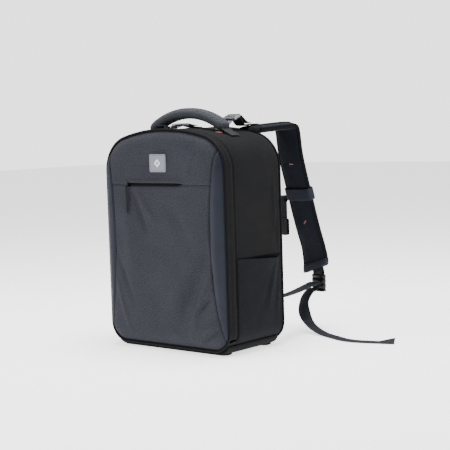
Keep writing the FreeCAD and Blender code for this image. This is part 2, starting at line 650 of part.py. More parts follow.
def strap_anchors():
    """Small webbing tabs sewn into the lower back corners, one for each lower webbing."""
    tabs = []
    for name, side in (("left", -1), ("right", 1)):
        corners = [(side * 128, 82.7), (side * 154, 82.7), (side * 156, 91), (side * 134, 91)]
        tabs.append(padded("anchor_" + name, "plan", "86.5", "89.5", (polygon, (corners,))))
    grouped("strap_anchors", tabs)


bag_body()
piping("back_piping", "depth / 2 + bead + 0.1")
foam_inside()
front_lid()
piping("front_piping", "-depth / 2 - bead - 0.1")
sliders()
handle()
load_lifters()
strap_anchors()
for strap_name, strap_side in (("left", -1), ("right", 1)):
    shoulder_strap(strap_name, strap_side)
    tube("webbing_tail_" + strap_name, TAIL_ROUTES[strap_name], value("tail_round"))

doc.recompute()
failed = [item.Label for item in doc.Objects if "Invalid" in item.State or "Error" in item.State]
if failed:
    raise RuntimeError("features failed: " + ", ".join(failed))
for name, item in nodes.items():
    if item.Shape.isNull() or not item.Shape.isValid() or not item.Shape.Solids:
        raise RuntimeError("bad shape: " + name)

os.makedirs("parts", exist_ok=True)
for name, item in nodes.items():
    item.Shape.exportStep("parts/%s.step" % name)
print(len(nodes), "nodes written")
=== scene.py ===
import math
import bmesh
import bpy
import numpy as np
from mathutils import Matrix, Vector


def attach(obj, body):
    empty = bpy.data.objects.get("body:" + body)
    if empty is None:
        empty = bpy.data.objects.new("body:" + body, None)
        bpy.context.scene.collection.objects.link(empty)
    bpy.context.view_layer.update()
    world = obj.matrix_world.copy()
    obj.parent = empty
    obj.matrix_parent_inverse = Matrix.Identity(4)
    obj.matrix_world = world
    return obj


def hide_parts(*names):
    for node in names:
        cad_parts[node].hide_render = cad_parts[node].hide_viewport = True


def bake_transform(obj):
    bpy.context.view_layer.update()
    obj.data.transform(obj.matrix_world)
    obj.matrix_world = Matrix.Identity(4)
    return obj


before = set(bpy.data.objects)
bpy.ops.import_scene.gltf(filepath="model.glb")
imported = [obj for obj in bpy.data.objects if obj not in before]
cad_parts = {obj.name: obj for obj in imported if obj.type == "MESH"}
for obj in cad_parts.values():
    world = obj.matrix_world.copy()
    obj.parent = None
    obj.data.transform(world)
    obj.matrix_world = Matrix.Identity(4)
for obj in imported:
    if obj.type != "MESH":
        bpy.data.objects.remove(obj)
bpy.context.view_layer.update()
SIDES = (("left", -1), ("right", 1))
FACE = -0.0825  # the plane of the lid's front edge
BACK = 0.0825  # the plane that the straps are sewn to
LIFTER_X = 0.070  # how far the load lifters lie from the middle

# ---- gusset wall ----
# The wall that runs round the bag behind the main zip: close-woven polyester laminated to thin
# foam, one long panel seamed at the sole, turned into the back seam under a corded edge.


def outline(inset):
    """The bag's edge seen from the front: flat bottom, round feet, straight sides, round
    shoulders and one crown arc about (0, 40 mm). Rows of x, z and the outward direction."""
    half, low = 0.1575 - inset, 0.009 + inset
    foot, shoulder, crown = 0.040 - inset, 0.070 - inset, 0.400 - inset
    neck = 0.040 + math.sqrt((crown - shoulder) ** 2 - (half - shoulder) ** 2)
    lean = math.atan2(neck - 0.040, half - shoulder)

    def turn(x, z, radius, start, end, count):
        """Part of a circle, given by its angles."""
        angle = np.linspace(start, end, count, endpoint=False)
        c, s = np.cos(angle), np.sin(angle)
        return np.stack([x + radius * c, z + radius * s, c, s], 1)

    across = np.linspace(0, half - foot, 26, endpoint=False)
    up = np.linspace(low + foot, neck, 72, endpoint=False)
    right = np.vstack([
        np.stack([across, 0 * across + low, 0 * across, 0 * across - 1], 1),
        turn(half - foot, low + foot, foot, -math.pi / 2, 0, 16),
        np.stack([0 * up + half, up, 0 * up + 1, 0 * up], 1),
        turn(half - shoulder, neck, shoulder, 0, lean, 28),
        turn(0, 0.040, crown, lean, math.pi / 2, 28)])
    return np.vstack([right, [[0, 0.040 + crown, 0, 1]], right[:0:-1] * [-1, 1, -1, 1]])


def sewn(name, grid, closed=False, inside=(0, 0, 0.22), ends=False, skip=None):
    """A surface from a grid of points, rows by columns; closed joins the last column to the
    first, ends caps both end rows. Its UV map is the distance along a middle row and column."""
    rows, columns = grid.shape[:2]
    number = np.arange(rows * columns).reshape(rows, columns)
    wide = np.hstack([grid, grid[:, :1]]) if closed else grid
    if closed:
        number = np.hstack([number, number[:, :1]])
    run = np.linalg.norm(np.diff(wide[rows // 2], axis=0), axis=1)
    climb = np.linalg.norm(np.diff(wide[:, columns // 2], axis=0), axis=1)
    u, v = np.meshgrid(np.append(0, np.cumsum(run)), np.append(0, np.cumsum(climb)))

    def corners(values):
        """The four corners of every cell, in order round it."""
        return np.stack([values[:-1, :-1], values[:-1, 1:], values[1:, 1:], values[1:, :-1]], -1)

    kept = np.ones((rows - 1, number.shape[1] - 1), bool) if skip is None else ~skip
    faces = corners(number)[kept]
    places = np.stack([corners(u)[kept], corners(v)[kept]], -1)
    spots = grid.reshape(-1, 3)
    middle = spots[faces].mean(1)
    normal = np.cross(spots[faces[:, 2]] - spots[faces[:, 0]],
                      spots[faces[:, 3]] - spots[faces[:, 1]])
    centre = spots.mean(0) if ends else np.array(inside)
    flip = np.sum(normal * (middle - centre)) < 0
    if flip:
        faces, places = faces[:, ::-1], places[:, ::-1]
    polygons, laid = faces.tolist(), places.reshape(-1, 2)
    if ends:
        first, last = number[0, :columns].tolist(), number[-1, :columns].tolist()
        polygons += [first if flip else first[::-1], last[::-1] if flip else last]
        laid = np.vstack([laid, np.zeros((2 * columns, 2))])
    mesh = bpy.data.meshes.new(name)
    mesh.from_pydata(spots.tolist(), [], polygons)
    mesh.uv_layers.new(name="cut").data.foreach_set("uv", laid.ravel())
    mesh.polygons.foreach_set("use_smooth", [True] * len(polygons))
    piece = bpy.data.objects.new(name, mesh)
    bpy.context.scene.collection.objects.link(piece)
    return piece


def solid(name, grid):
    """A closed surface capped at both ends."""
    return sewn(name, grid, closed=True, ends=True)


def spread(count):
    """Even steps from 0 to 1."""
    return np.linspace(0, 1, count)


def held(value):
    """A value kept between 0 and 1."""
    return np.clip(value, 0, 1)


def bell(value, width):
    """A bell curve of a distance, 1 in its middle."""
    return np.exp(-(value / width) ** 2)


def fold(a, b, start, end, width, height):
    """A soft ridge or dent along the line between two points: a bell curve across it that
    fades out towards both ends. All four numbers that describe it are in millimetres."""
    start, end, width, height = (np.array(value) / 1000 for value in (start, end, width, height))
    run = np.subtract(end, start)
    length = math.hypot(*run)
    along = ((a - start[0]) * run[0] + (b - start[1]) * run[1]) / length ** 2
    aside = ((a - start[0]) * run[1] - (b - start[1]) * run[0]) / length
    return height * bell(aside, width) * np.sin(np.pi * held(along)) ** 0.7


class Wire:
    """One output of a shader node; sums and products of wires add the nodes for them."""

    def __init__(self, finish, socket):
        self.finish, self.socket = finish, socket

    def maths(self, operation, first, second):
        return self.finish.node("Math", {"operation": operation}, {0: first, 1: second})

    def __add__(self, other): return self.maths("ADD", self, other)
    def __radd__(self, other): return self.maths("ADD", other, self)
    def __sub__(self, other): return self.maths("SUBTRACT", self, other)
    def __rsub__(self, other): return self.maths("SUBTRACT", other, self)
    def __mul__(self, other): return self.maths("MULTIPLY", self, other)
    def __rmul__(self, other): return self.maths("MULTIPLY", other, self)
    def __truediv__(self, other): return self.maths("DIVIDE", self, other)
    def __pow__(self, other): return self.maths("POWER", self, other)
    def __gt__(self, other): return self.maths("GREATER_THAN", self, other)
    def __lt__(self, other): return self.maths("LESS_THAN", self, other)
    def __abs__(self): return self.finish.node("Math", {"operation": "ABSOLUTE"}, {0: self})


class Finish:
    """A material as it is mixed: its shader, and one method that adds any other node."""

    def __init__(self, name, **fixed):
        self.material = bpy.data.materials.new(name)
        self.material.use_nodes = True
        self.tree = self.material.node_tree
        self.shader = self.tree.nodes["Principled BSDF"]
        for socket, number in fixed.items():
            self.shader.inputs[socket.replace("_", " ")].default_value = number

    def node(self, kind, settings, values, out=0):
        made = self.tree.nodes.new("ShaderNode" + kind)
        for setting, choice in settings.items():
            setattr(made, setting, choice)
        for socket, value in values.items():
            if isinstance(value, Wire):
                self.tree.links.new(value.socket, made.inputs[socket])
            else:
                made.inputs[socket].default_value = value
        return Wire(self, made.outputs[out])

    def spot(self, where="UV"):
        """The place on the surface as x, y and z wires, and whole."""
        place = self.node("TexCoord", {}, {}, where)
        apart = self.node("SeparateXYZ", {}, {0: place})
        outs = apart.socket.node.outputs
        return [Wire(self, outs[0]), Wire(self, outs[1]), Wire(self, outs[2]), place]

    def wave(self, value, pitch):
        """A sine of a distance, once per pitch."""
        return self.node("Math", {"operation": "SINE"}, {0: value * (2 * math.pi / pitch)})

    def noise(self, place, size, detail=2.0):
        """Cloudy values about one size across."""
        return self.node("TexNoise", {}, {"Vector": place, "Scale": 1 / size, "Detail": detail})

    def mix(self, factor, first, second):
        """A colour between two colours, each a wire or three numbers."""
        first, second = (c if isinstance(c, Wire) else tint(*c) for c in (first, second))
        return self.node("Mix", {"data_type": "RGBA"}, {0: factor, 6: first, 7: second}, 2)

    def done(self, colour, height=None, deep=0.0003, strength=0.6, rough=None):
        """Join the colour, the relief and the roughness to the shader and give the material."""
        self.tree.links.new(colour.socket, self.shader.inputs["Base Color"])
        if height is not None:
            bump = self.node("Bump", {}, {"Strength": strength, "Distance": deep, "Height": height})
            self.tree.links.new(bump.socket, self.shader.inputs["Normal"])
        if rough is not None:
            self.tree.links.new(rough.socket, self.shader.inputs["Roughness"])
        return self.material


def tint(red, green, blue):
    """A colour socket's four numbers."""
    return (red, green, blue, 1.0)


def woven(name, dark, light, pitch, rough=0.8, sheen=0.012, where="UV", axes=(0, 1), deep=0.00025,
          seams=(), thread=(0.02, 0.02, 0.024)):
    """Close-woven cloth: threads that cross at the pitch, a drift of shade from panel to panel,
    faint slubs, and rows of stitches where v is one of the seam distances."""
    finish = Finish(name, Roughness=rough, Sheen_Weight=sheen, Sheen_Roughness=0.5,
                    Specular_IOR_Level=0.05)
    spot = finish.spot(where)
    warp, weft = finish.wave(spot[axes[0]], pitch), finish.wave(spot[axes[1]], pitch)
    cross = warp * weft
    object_place = finish.spot("Object")[3]
    drift = finish.noise(object_place, 0.07, 2.0)
    slub = finish.noise(spot[3], 0.0026, 4.0)
    shade = cross * 0.16 + slub * 1.5 + drift * 0.4 - 0.45
    colour = finish.mix(shade, dark, light)
    height = cross * 0.5 + slub
    for at in seams:
        near = abs(spot[1] - at)
        dash = (near < 0.00045) * (finish.wave(spot[0], 0.0036) > -0.45)
        colour = finish.mix(dash, colour, thread)
        height = height - (near < 0.0014) * 1.2 + dash * 1.6
    return finish.done(colour, height, deep)


def dressed(piece, material, body, replaces=()):
    """Give a piece its finish and its body, and hide the CAD solids it stands for."""
    piece.data.materials.append(material)
    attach(piece, body)
    if replaces:
        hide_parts(*replaces)
    return piece


edge = outline(0.0)
share = spread(53)[:, None]
front = np.where(edge[:, 1] < 0.029, -0.0795, -0.0588)
depth = front + (0.0822 - front) * share
tall = held((edge[:, 1] - 0.022) / 0.05)
side = np.abs(edge[:, 2])
out = 0.0026 * np.sin(np.pi * share) ** 0.7 * tall * (0.35 + 0.65 * side)
high = edge[:, 1] + 0 * share
for a, b, width, height in (
        ((66, 340), (52, 200), 7, 1.1), ((78, 300), (60, 190), 5, -1.3),
        ((20, 360), (50, 420), 12, 1), ((-50, 300), (30, 220), 18, 0.8),
        ((70, 170), (45, 60), 7, 1.2), ((-20, 400), (30, 300), 20, -0.8),
        ((60, 355), (61.5, 185), 3, 1.6), ((66.5, 335), (66, 190), 2.6, -1.4),
        ((62, 275), (79, 262), 4.5, 1.2), ((62, 240), (79, 228), 4.5, -1)):
    out = out + fold(depth, high, a, b, width, height) * side
out = out - 0.0012 * bell(depth + 0.0588, 0.0016) - 0.0014 * bell(depth - 0.0822, 0.002)
wall = np.stack([edge[:, 0] + edge[:, 2] * out, depth, edge[:, 1] + edge[:, 3] * out], -1)
wall_cloth = woven("wall_cloth", (0.0040, 0.0041, 0.0044), (0.0125, 0.0127, 0.0138), 0.0011,
                   seams=(0.0035, 0.138))
dressed(sewn("gusset_wall", wall, closed=True), wall_cloth, "pack", ["gusset_shell"])

# ---- lid band and main zip ----
# The narrow wall of the lid between the front piping and the main zip, of the same cloth; the
# zip is a reverse coil whose two coated tapes meet face to face, stitched down both sides.
ring = edge[edge[:, 1] > 0.0305]
share = spread(15)[:, None]
swell = 0.0012 * np.sin(np.pi * share) ** 0.6 - 0.0006
band = np.stack([ring[:, 0] + ring[:, 2] * swell, -0.0823 + 0.0196 * share + 0 * ring[:, 0],
                 ring[:, 1] + ring[:, 3] * swell], -1)
band_cloth = woven("band_cloth", (0.0040, 0.0039, 0.0041), (0.0105, 0.0101, 0.0105), 0.0011,
                   seams=(0.0032, 0.0172))
dressed(sewn("lid_band_cloth", band), band_cloth, "front_lid", ["lid_band"])


def surfaced(material, *names):
    """Give a finish to CAD solids that are shown as they are."""
    for name in names:
        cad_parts[name].material_slots[0].material = material


finish = Finish("zip_tape_coated", Roughness=0.75, Specular_IOR_Level=0.08)
x, y, z, place = finish.spot("Object")
ribs = finish.wave(x + z, 0.0016)
zip_black = finish.done(finish.mix(finish.noise(place, 0.01), (0.0020, 0.0020, 0.0024),
                                   (0.0050, 0.0050, 0.0058)),
                        ribs, 0.00015)
surfaced(zip_black, "zip_tape_lid", "zip_tape_body")

# ---- front panel ----
# The domed front, cut from one cloth over thin foam: it is eased into the side seams, so it
# carries soft diagonal folds. The pocket zip is let into a slit under a turned welt.


def depth_in(x, z):
    """How far a point lies inside the panel's edge, by the nearest of the edge's arcs and lines."""
    x, half, low, foot, shoulder, crown = np.abs(x), 0.1549, 0.0116, 0.0374, 0.0674, 0.3974
    neck = 0.3582
    inside = np.minimum(np.minimum(half - x, z - low), crown - np.hypot(x, z - 0.040))
    at_foot = (x > half - foot) & (z < low + foot)
    inside = np.where(at_foot, foot - np.hypot(x - half + foot, z - low - foot), inside)
    lean = np.arctan2(neck - 0.040, half - shoulder)
    at_neck = (x > half - shoulder) & (z > neck) & (np.arctan2(z - 0.040, x) < lean)
    return np.where(at_neck, shoulder - np.hypot(x - half + shoulder, z - neck), inside)


tips = np.array([(0.145, 0.421), (0.126, 0.225), (0.152, 0.018)])
round_x, round_z, rest = np.linalg.solve(np.column_stack([2 * tips, np.ones(3)]),
                                         (tips ** 2).sum(1))
seam_radius = math.sqrt(rest + round_x ** 2 + round_z ** 2)


def seam(z):
    """Half the panel's width at a height: the circle through the seam's tips and its waist."""
    return round_x - np.sqrt(seam_radius ** 2 - (z - round_z) ** 2)


def dome(x, z):
    """How far the front stands out before the lid's edge: it climbs quickly away from the edge,
    more slowly over the sole, with folds laid over it and a dip along each seam."""
    inside = np.clip(depth_in(x, z), 0, None)
    climb = 0.0186 * (1 - np.exp(-inside / 0.0098))
    climb = climb * (1 - 0.34 * np.exp(-(z - 0.0116) / 0.020))
    aside = np.abs(x) - seam(z)
    return climb - 0.0024 * bell(aside, 0.0017)


PANEL_FOLDS = (
    ((-74, 322), (-34, 232), 7.2, -1.9), ((-60, 322), (-12, 250), 8.5, 1.2),
    ((135, 268), (-20, 20), 15, 2), ((128, 215), (30, 40), 11.5, -3),
    ((130, 170), (66, 30), 7, 2.7), ((125, 118), (88, 78), 3.6, -2),
    ((130, 136), (100, 96), 3.4, 1.7), ((145, 58), (98, 26), 4.5, -2.4),
    ((138, 70), (100, 44), 3.8, 1.8), ((-128, 210), (-75, 85), 7, -1.7),
    ((-130, 155), (-90, 30), 6, 1.3), ((-100, 300), (-70, 100), 16, 1.2),
    ((20, 300), (90, 190), 16, -1), ((-88, 345), (-22, 374), 8, 1.3),
    ((60, 345), (118, 405), 13, 1.4), ((-50, 400), (40, 430), 15, -0.8),
    ((0, 180), (-40, 50), 20, -1), ((80, 350), (105, 398), 6, -1))


def along(line, fractions):
    """Points of a bent line at fractions of its length."""
    steps = np.append(0, np.cumsum(np.linalg.norm(np.diff(line, axis=0), axis=1)))
    return np.stack([np.interp(fractions * steps[-1], steps,
                               line[:, k]) for k in range(line.shape[1])], 1)


def patch(foot_edge, head_edge, left_edge, right_edge, u, v):
    """A Coons patch: the sum of the two ruled surfaces between its edges, less the flat one."""
    u, v = u[None, :, None], v[:, None, None]
    foot_edge, head_edge = foot_edge[None], head_edge[None]
    left_edge, right_edge = left_edge[:, None], right_edge[:, None]
    flat = ((1 - v) * ((1 - u) * foot_edge[:, :1] + u * foot_edge[:, -1:])
            + v * ((1 - u) * head_edge[:, :1] + u * head_edge[:, -1:]))
    return (1 - v) * foot_edge + v * head_edge + (1 - u) * left_edge + u * right_edge - flat


lip = outline(0.0026)[:, :2]
half_run = lip[:169]
heights = np.linspace(0.012, 0.43, 4000)
beyond = depth_in(seam(heights), heights) > 0
z_low, z_high = heights[beyond][0], heights[beyond][-1]
bottom_run = half_run[:np.argmax(half_run[:, 1] > z_low)]
bottom_run = np.vstack([bottom_run, [(seam(z_low), z_low)]])
top_run = half_run[np.argmax(half_run[:, 1] > z_high):]
top_run = np.vstack([[(seam(z_high), z_high)], top_run])
bottom_run = np.vstack([bottom_run[:0:-1] * [-1, 1], bottom_run])
top_run = np.vstack([top_run[:-1] * [-1, 1], top_run[::-1]])

SLIT = 0.333
even = spread(176)
u = 0.72 * even + 0.28 * (0.5 - 0.5 * np.cos(np.pi * even))
rise = SLIT - z_low
v_low = np.concatenate([np.linspace(0, 0.012, 12, endpoint=False),
                        np.linspace(0.012, rise - 0.010, 150),
                        rise
                        - np.array([0.0085, 0.007, 0.0056, 0.0044, 0.0034, 0.0026, 0.0019, 0.0013,
                                    0.0008, 0.0004, 0])]) / rise
rise_up = z_high - SLIT
v_up = np.concatenate([np.array([0, 0.0004, 0.0008, 0.0013, 0.0019, 0.0026, 0.0034, 0.0044, 0.0056,
                                 0.0070]),
                       np.linspace(0.009, rise_up - 0.010, 42),
                       rise_up - np.linspace(0.009, 0, 12)]) / rise_up


def seam_edge(sign, start, rise_by, v):
    z = start + rise_by * v
    return np.stack([sign * seam(z), z], 1)


split = np.stack([np.linspace(-1, 1, 400) * seam(SLIT), np.full(400, SLIT)], 1)
lower = patch(along(bottom_run, u), along(split, u), seam_edge(-1, z_low, rise, v_low),
              seam_edge(1, z_low, rise, v_low), u, v_low)
upper = patch(along(split, u), along(top_run, u), seam_edge(-1, SLIT, rise_up, v_up),
              seam_edge(1, SLIT, rise_up, v_up), u, v_up)
flat = np.vstack([lower, upper])
x, z = flat[..., 0], flat[..., 1]
is_upper = (np.arange(len(flat)) >= len(lower))[:, None]
wide_open = held((x + 0.093) / 0.004) * held((0.072 - x) / 0.030)
wide_open = wide_open * wide_open * (3 - 2 * wide_open)
off = np.abs(z - SLIT)
stand = dome(x, z)
for a, b, width, height in PANEL_FOLDS:
    stand = stand + 1.9 * fold(x, z, a, b, width, height)
sink = 0.0017 + 0.0030 * wide_open
stand = stand - np.where(is_upper, sink * bell(off, 0.0009), sink * bell(off, 0.0030))
stand = stand + np.where(is_upper, (0.0005 + 0.0022 * wide_open) * bell(off - 0.0045, 0.0045), 0)
gape = (0.00005 + 0.0018 * wide_open) * np.exp(-off / 0.004)
cut_z = z + np.where(is_upper, gape, -gape * 1.2)
panel_grid = np.stack([x, FACE - stand, cut_z], -1)
skip = np.zeros((len(flat) - 1, len(u) - 1), bool)
skip[len(lower) - 1] = (wide_open[len(lower), :-1] > 0.5)
front_cloth = woven("front_cloth", (0.0102, 0.0109, 0.0146), (0.0395, 0.0410, 0.0505), 0.0012,
                    rough=0.75, sheen=0.02, deep=0.0004)
dressed(sewn("front_cloth_panel", panel_grid, inside=(0, 0.3, 0.22), skip=skip), front_cloth,
        "front_lid",
        ["front_panel"])

# ---- side insets ----
# Two lens-shaped panels let in along the front's edges: a smooth coated cloth with a satin face,
# padded a little so that each stands up between its seam and the piping.
finish = Finish("coated_cloth", Roughness=0.42, Sheen_Weight=0.03, Specular_IOR_Level=0.16)
a, b = finish.spot("UV")[:2]
grain = finish.noise(finish.spot("Object")[3], 0.0011, 3.0)
cloudy = finish.noise(finish.spot("Object")[3], 0.045, 2.0)
rough = 0.36 + grain * 0.12 + cloudy * 0.10
satin = finish.done(finish.mix(cloudy * 0.9 + grain * 0.3 - 0.1, (0.0062, 0.0076, 0.0132),
                               (0.0150, 0.0176, 0.0280)),
                    grain + finish.wave(a, 0.0009) * finish.wave(b, 0.0009) * 0.3, 0.00012,
                    rough=rough)
side_run = lip[(np.arange(len(lip)) < 169) & (lip[:, 1] >= z_low) & (lip[:, 1] <= z_high)
               & (lip[:, 0] > 0.1)]
side_run = np.vstack([[(seam(z_low), z_low)], side_run, [(seam(z_high), z_high)]])
v = 0.5 - 0.5 * np.cos(np.pi * spread(190))
v = 0.6 * spread(190) + 0.4 * v
u = (spread(34)[None, :, None]) ** 0.85
inner = seam_edge(1, z_low, z_high - z_low, v)[:, None]
lens = inner * (1 - u) + along(side_run, v)[:, None] * u
x, z = lens[..., 0], lens[..., 1]
thick = np.sin(np.pi * u[..., 0]) * np.sin(np.pi * v[:, None]) ** 0.5
stand = dome(x, z) + 0.0034 * thick
for a, b, width, height in (((130, 120), (150, 100), 4, -0.8), ((128, 300), (150, 285), 6, 0.6)):
    stand = stand + fold(x, z, a, b, width, height) * thick
for name, sign in SIDES:
    inset = np.stack([sign * (x + 0.0012 * thick), FACE - stand, z], -1)
    dressed(sewn("inset_cloth_" + name, inset, inside=(0, 0.3, 0.22)), satin, "front_lid",
            ["inset_" + name])

# ---- piping ----
# Corded edges, front and back: a cord wrapped in coated black cloth and caught in the seam.
finish = Finish("piping_black", Roughness=0.7, Specular_IOR_Level=0.10)
place = finish.spot("Object")[3]
grain = finish.noise(place, 0.0012, 2.0)
piping_black = finish.done(finish.mix(grain, (0.0018, 0.0018, 0.0022), (0.0055, 0.0055, 0.0062)),
                           grain, 0.0002,
                           rough=0.60 + grain * 0.2)
surfaced(piping_black, "front_piping", "back_piping")

# ---- turned edges ----
# The front and back cloths are turned round the panels' edges under the piping, where they meet
# the wall: narrow strips that run all the way round, glued down.


def turned_edge(name, rows, cloth, body):
    """A closed strip round the bag: each row is the bag's outline at an inset, at a depth y."""
    rings = [outline(inset) for inset, depth_y in rows]
    grid = np.stack([np.stack([ring[:, 0], 0 * ring[:, 0] + depth_y, ring[:, 1]], -1)
                     for ring, (inset, depth_y) in zip(rings, rows)])
    dressed(sewn(name, grid, closed=True), cloth, body)


turned_edge("front_turned_edge",
            ((0.0042, -0.0846), (0.0010, -0.0848), (0.0004, -0.0828), (0.0004, -0.0798)),
            band_cloth, "front_lid")
turned_edge("back_turned_edge",
            ((0.0012, 0.0810), (0.0006, 0.0830), (0.0010, 0.0848), (0.0060, 0.0840)), wall_cloth,
            "pack")

# ---- pocket zip, slider and pull ----
# A coil zip on black tape behind the slit; its slider is cast zinc, and a moulded rubber pull
# with a waist and a row of grip ribs hangs from the slider's bail.
finish = Finish("pocket_zip_coil", Roughness=0.7, Specular_IOR_Level=0.08)
x, y, z = finish.spot("Object")[:3]
near = abs(z - SLIT)
coil = (near < 0.0024) * (finish.wave(x, 0.0015) * 0.5 + 0.5)
coil_black = finish.mix(coil, (0.0008, 0.0008, 0.0010), (0.0040, 0.0040, 0.0048))
surfaced(finish.done(coil_black, coil, 0.0006), "pocket_zip")


def rounded_profile(wide, thick, power, count):
    """A flattened oval: cosine and sine, each raised to two over the power, sign kept."""
    angle = np.linspace(0, 2 * math.pi, count, endpoint=False)
    c, s = np.cos(angle), np.sin(angle)
    return np.stack([wide / 2 * np.sign(c) * np.abs(c) ** (2 / power),
                     thick / 2 * np.sign(s) * np.abs(s) ** (2 / power)], -1)


def carried(path, across, profile):
    """A profile carried along a path: its first number lies along across, its second along
    the cross product of the path's direction and across."""
    head = np.gradient(path, axis=0)
    head /= np.linalg.norm(head, axis=1)[:, None]
    across = np.broadcast_to(across, path.shape).astype(float)
    across = across - head * (across * head).sum(1)[:, None]
    across /= np.linalg.norm(across, axis=1)[:, None]
    up = np.cross(head, across)
    if profile.ndim == 2:
        profile = np.broadcast_to(profile, (len(path),) + profile.shape)
    return path[:, None] + across[:, None] * profile[..., :1] + up[:, None] * profile[..., 1:]


def moulded(name, low, high, gloss, **fixed):
    """Moulded rubber, plastic or cast metal: fine grain and a slow change of gloss."""
    finish = Finish(name, Roughness=gloss, **fixed)
    place = finish.spot("Object")[3]
    grain, cloud = finish.noise(place, 0.0006), finish.noise(place, 0.004, 3.0)
    return finish, grain, cloud, finish.mix(cloud, low, high)


def cast(name, low, high, gloss, deep, dull, swing, **fixed):
    """A plain moulded finish: the depth of its grain, and a roughness of dull to dull + swing."""
    finish, grain, cloud, colour = moulded(name, low, high, gloss, **fixed)
    return finish.done(colour, grain, deep, rough=dull + cloud * swing)


pull_rubber = cast("pull_rubber", (0.0070, 0.0082, 0.0115), (0.0125, 0.0142, 0.0190), 0.5,
                   0.00008, 0.42, 0.2, Specular_IOR_Level=0.12)
slider_zinc = cast("slider_zinc", (0.010, 0.011, 0.013), (0.030, 0.032, 0.037), 0.35,
                   0.00005, 0.28, 0.2, Metallic=0.7)

fall = spread(60)
wide = 0.0034 + 0.0032 * held((fall - 0.16) / 0.16) - 0.0018 * held((fall - 0.72) / 0.28) ** 2
grip_ribs = 0.0004 * np.maximum(np.sin(fall * 2 * math.pi * 13), 0) * (fall > 0.34) * (fall < 0.8)
tip = np.sqrt(np.clip(1 - (held((fall - 0.95) / 0.05)) ** 2, 0.02,
                      1)) * np.sqrt(np.clip(1 - (held((0.04 - fall) / 0.04)) ** 2, 0.05, 1))
shape = rounded_profile(1, 1, 4, 20)[None] * np.stack([wide * tip, (0.0024 + grip_ribs) * tip],
                                                      -1)[:, None]
path = np.stack([np.full(60, -0.085), np.full(60, -0.1072), 0.3315 - 0.058 * fall], -1)
dressed(solid("pocket_pull_grip", carried(path, (1, 0, 0), shape)), pull_rubber,
        "pocket_puller", ["pocket_pull"])
surfaced(slider_zinc, "pocket_slider", "main_slider_left", "main_slider_right")
for name, sign in SIDES:
    fall = spread(40)
    tip = np.sqrt(np.clip(1 - held(np.abs(fall - 0.5) * 2 - 0.92) ** 2 / 0.0064, 0.05, 1))
    wide = 0.0030 + 0.0020 * held((fall - 0.15) / 0.2)
    shape = rounded_profile(1, 1, 4, 18)[None] * np.stack([wide * tip, 0.0020 * tip + 0 * fall],
                                                          -1)[:, None]
    path = np.stack([sign * (0.012 + 0.032 * fall), np.full(40, -0.0602), np.full(40, 0.4473)], -1)
    dressed(solid("main_pull_grip_" + name, carried(path, (0, 1, 0), shape)), pull_rubber,
            "main_puller_" + name, ["main_pull_" + name])

# ---- badge ----
# A small moulded plate stitched above the pocket, satin grey, with a plain raised lozenge.
finish, grain, cloud, colour = moulded("badge_grey", (0.125, 0.132, 0.165), (0.165, 0.172, 0.208),
                                       0.42)
x, y, z = finish.spot("Object")[:3]
rim_x = abs(x - 0.001)
rim_z = abs(z - 0.3745)
rim = finish.node("Math", {"operation": "MAXIMUM"}, {0: rim_x - 0.0182, 1: rim_z - 0.0147})
# a thin band round a rectangle on the plate: a real dent in the bump, and painted darker in colour,
# which is painted shade in the groove
groove_and_shade = (rim > 0) * (rim < 0.0008)
colour = finish.mix(groove_and_shade, colour, (0.07, 0.07, 0.08))
surfaced(finish.done(colour, grain - groove_and_shade * 3, 0.0002, rough=0.36 + cloud * 0.15), "badge_plate")
finish, grain, cloud, colour = moulded("badge_pale", (0.55, 0.56, 0.58), (0.66, 0.67, 0.69), 0.4)
surfaced(finish.done(colour, grain, 0.00005), "badge_emblem")

# ---- side pockets ----
# A slip pocket on each side: a panel of the wall cloth sewn into the zip and back seams and the
# sole, its mouth turned over an elastic and standing open towards the back. A dark sheet laid on
# the wall just above each mouth is painted shade, standing for the shadow inside the opening.
y, t = np.linspace(-0.0575, 0.0790, 90)[None, :], spread(90)[:, None]
s = (y + 0.0575) / 0.1365
mouth = 0.1872 - 0.0092 * s + 0.0062 * held((s - 0.86) / 0.14) ** 1.5
z = 0.024 + (mouth - 0.024) * t
swell = 0.0026 * np.sin(np.pi * held((y + 0.0588) / 0.141)) ** 0.7 * held((z - 0.022) / 0.05)
foot_in = np.where(z < 0.049, 0.040 - np.sqrt(np.clip(0.040 ** 2 - (0.049 - z) ** 2, 0, None)), 0)
gape = 0.0068 * np.sin(np.pi * held(s / 0.95) ** 1.9) ** 0.9
away = 0.0007 + gape * np.exp(-(mouth - z) / 0.030) + 0.0014 * np.sin(np.pi * s) * np.sin(np.pi * t)
for a, b, width, height in (
        ((64, 186), (30, 75), 5.8, 1.5), ((74, 180), (50, 60), 5.2, -1.1),
        ((50, 170), (12, 80), 7, -1), ((72, 150), (62, 40), 5, 1),
        ((-45, 175), (-20, 50), 14, 0.8), ((20, 110), (-20, 30), 12, -0.9)):
    away = away + fold(y + 0 * z, z, a, b, width, height)
away = np.maximum(away, 0.0010 * np.clip(s / 0.05, 0.3, 1))
hem_in, hem_up = np.array([0.0007, 0.0016, 0.0022, 0.0024])[:, None], np.array([0.0006, 0.0003,
                                                                                -0.002,
                                                                                -0.012])[:, None]
body_x = 0.1575 - foot_in + swell + away
x_rows = np.vstack([body_x, body_x[-1:] - np.minimum(hem_in, away[-1:] * 0.9)])
z_rows = np.vstack([z, mouth + hem_up])
y_rows = np.broadcast_to(y, x_rows.shape)
pocket_cloth = woven("pocket_cloth", (0.0034, 0.0038, 0.0050), (0.0112, 0.0123, 0.0156), 0.0011)
# painted shade: a near-black cloth for the sheet over the wall above each mouth, where the inside
# of the open pocket lies in shadow
mouth_shade_sheet = woven("mouth_shade_sheet", (0.0010, 0.0010, 0.0012), (0.0028, 0.0028, 0.0032), 0.0010,
                      rough=0.9)
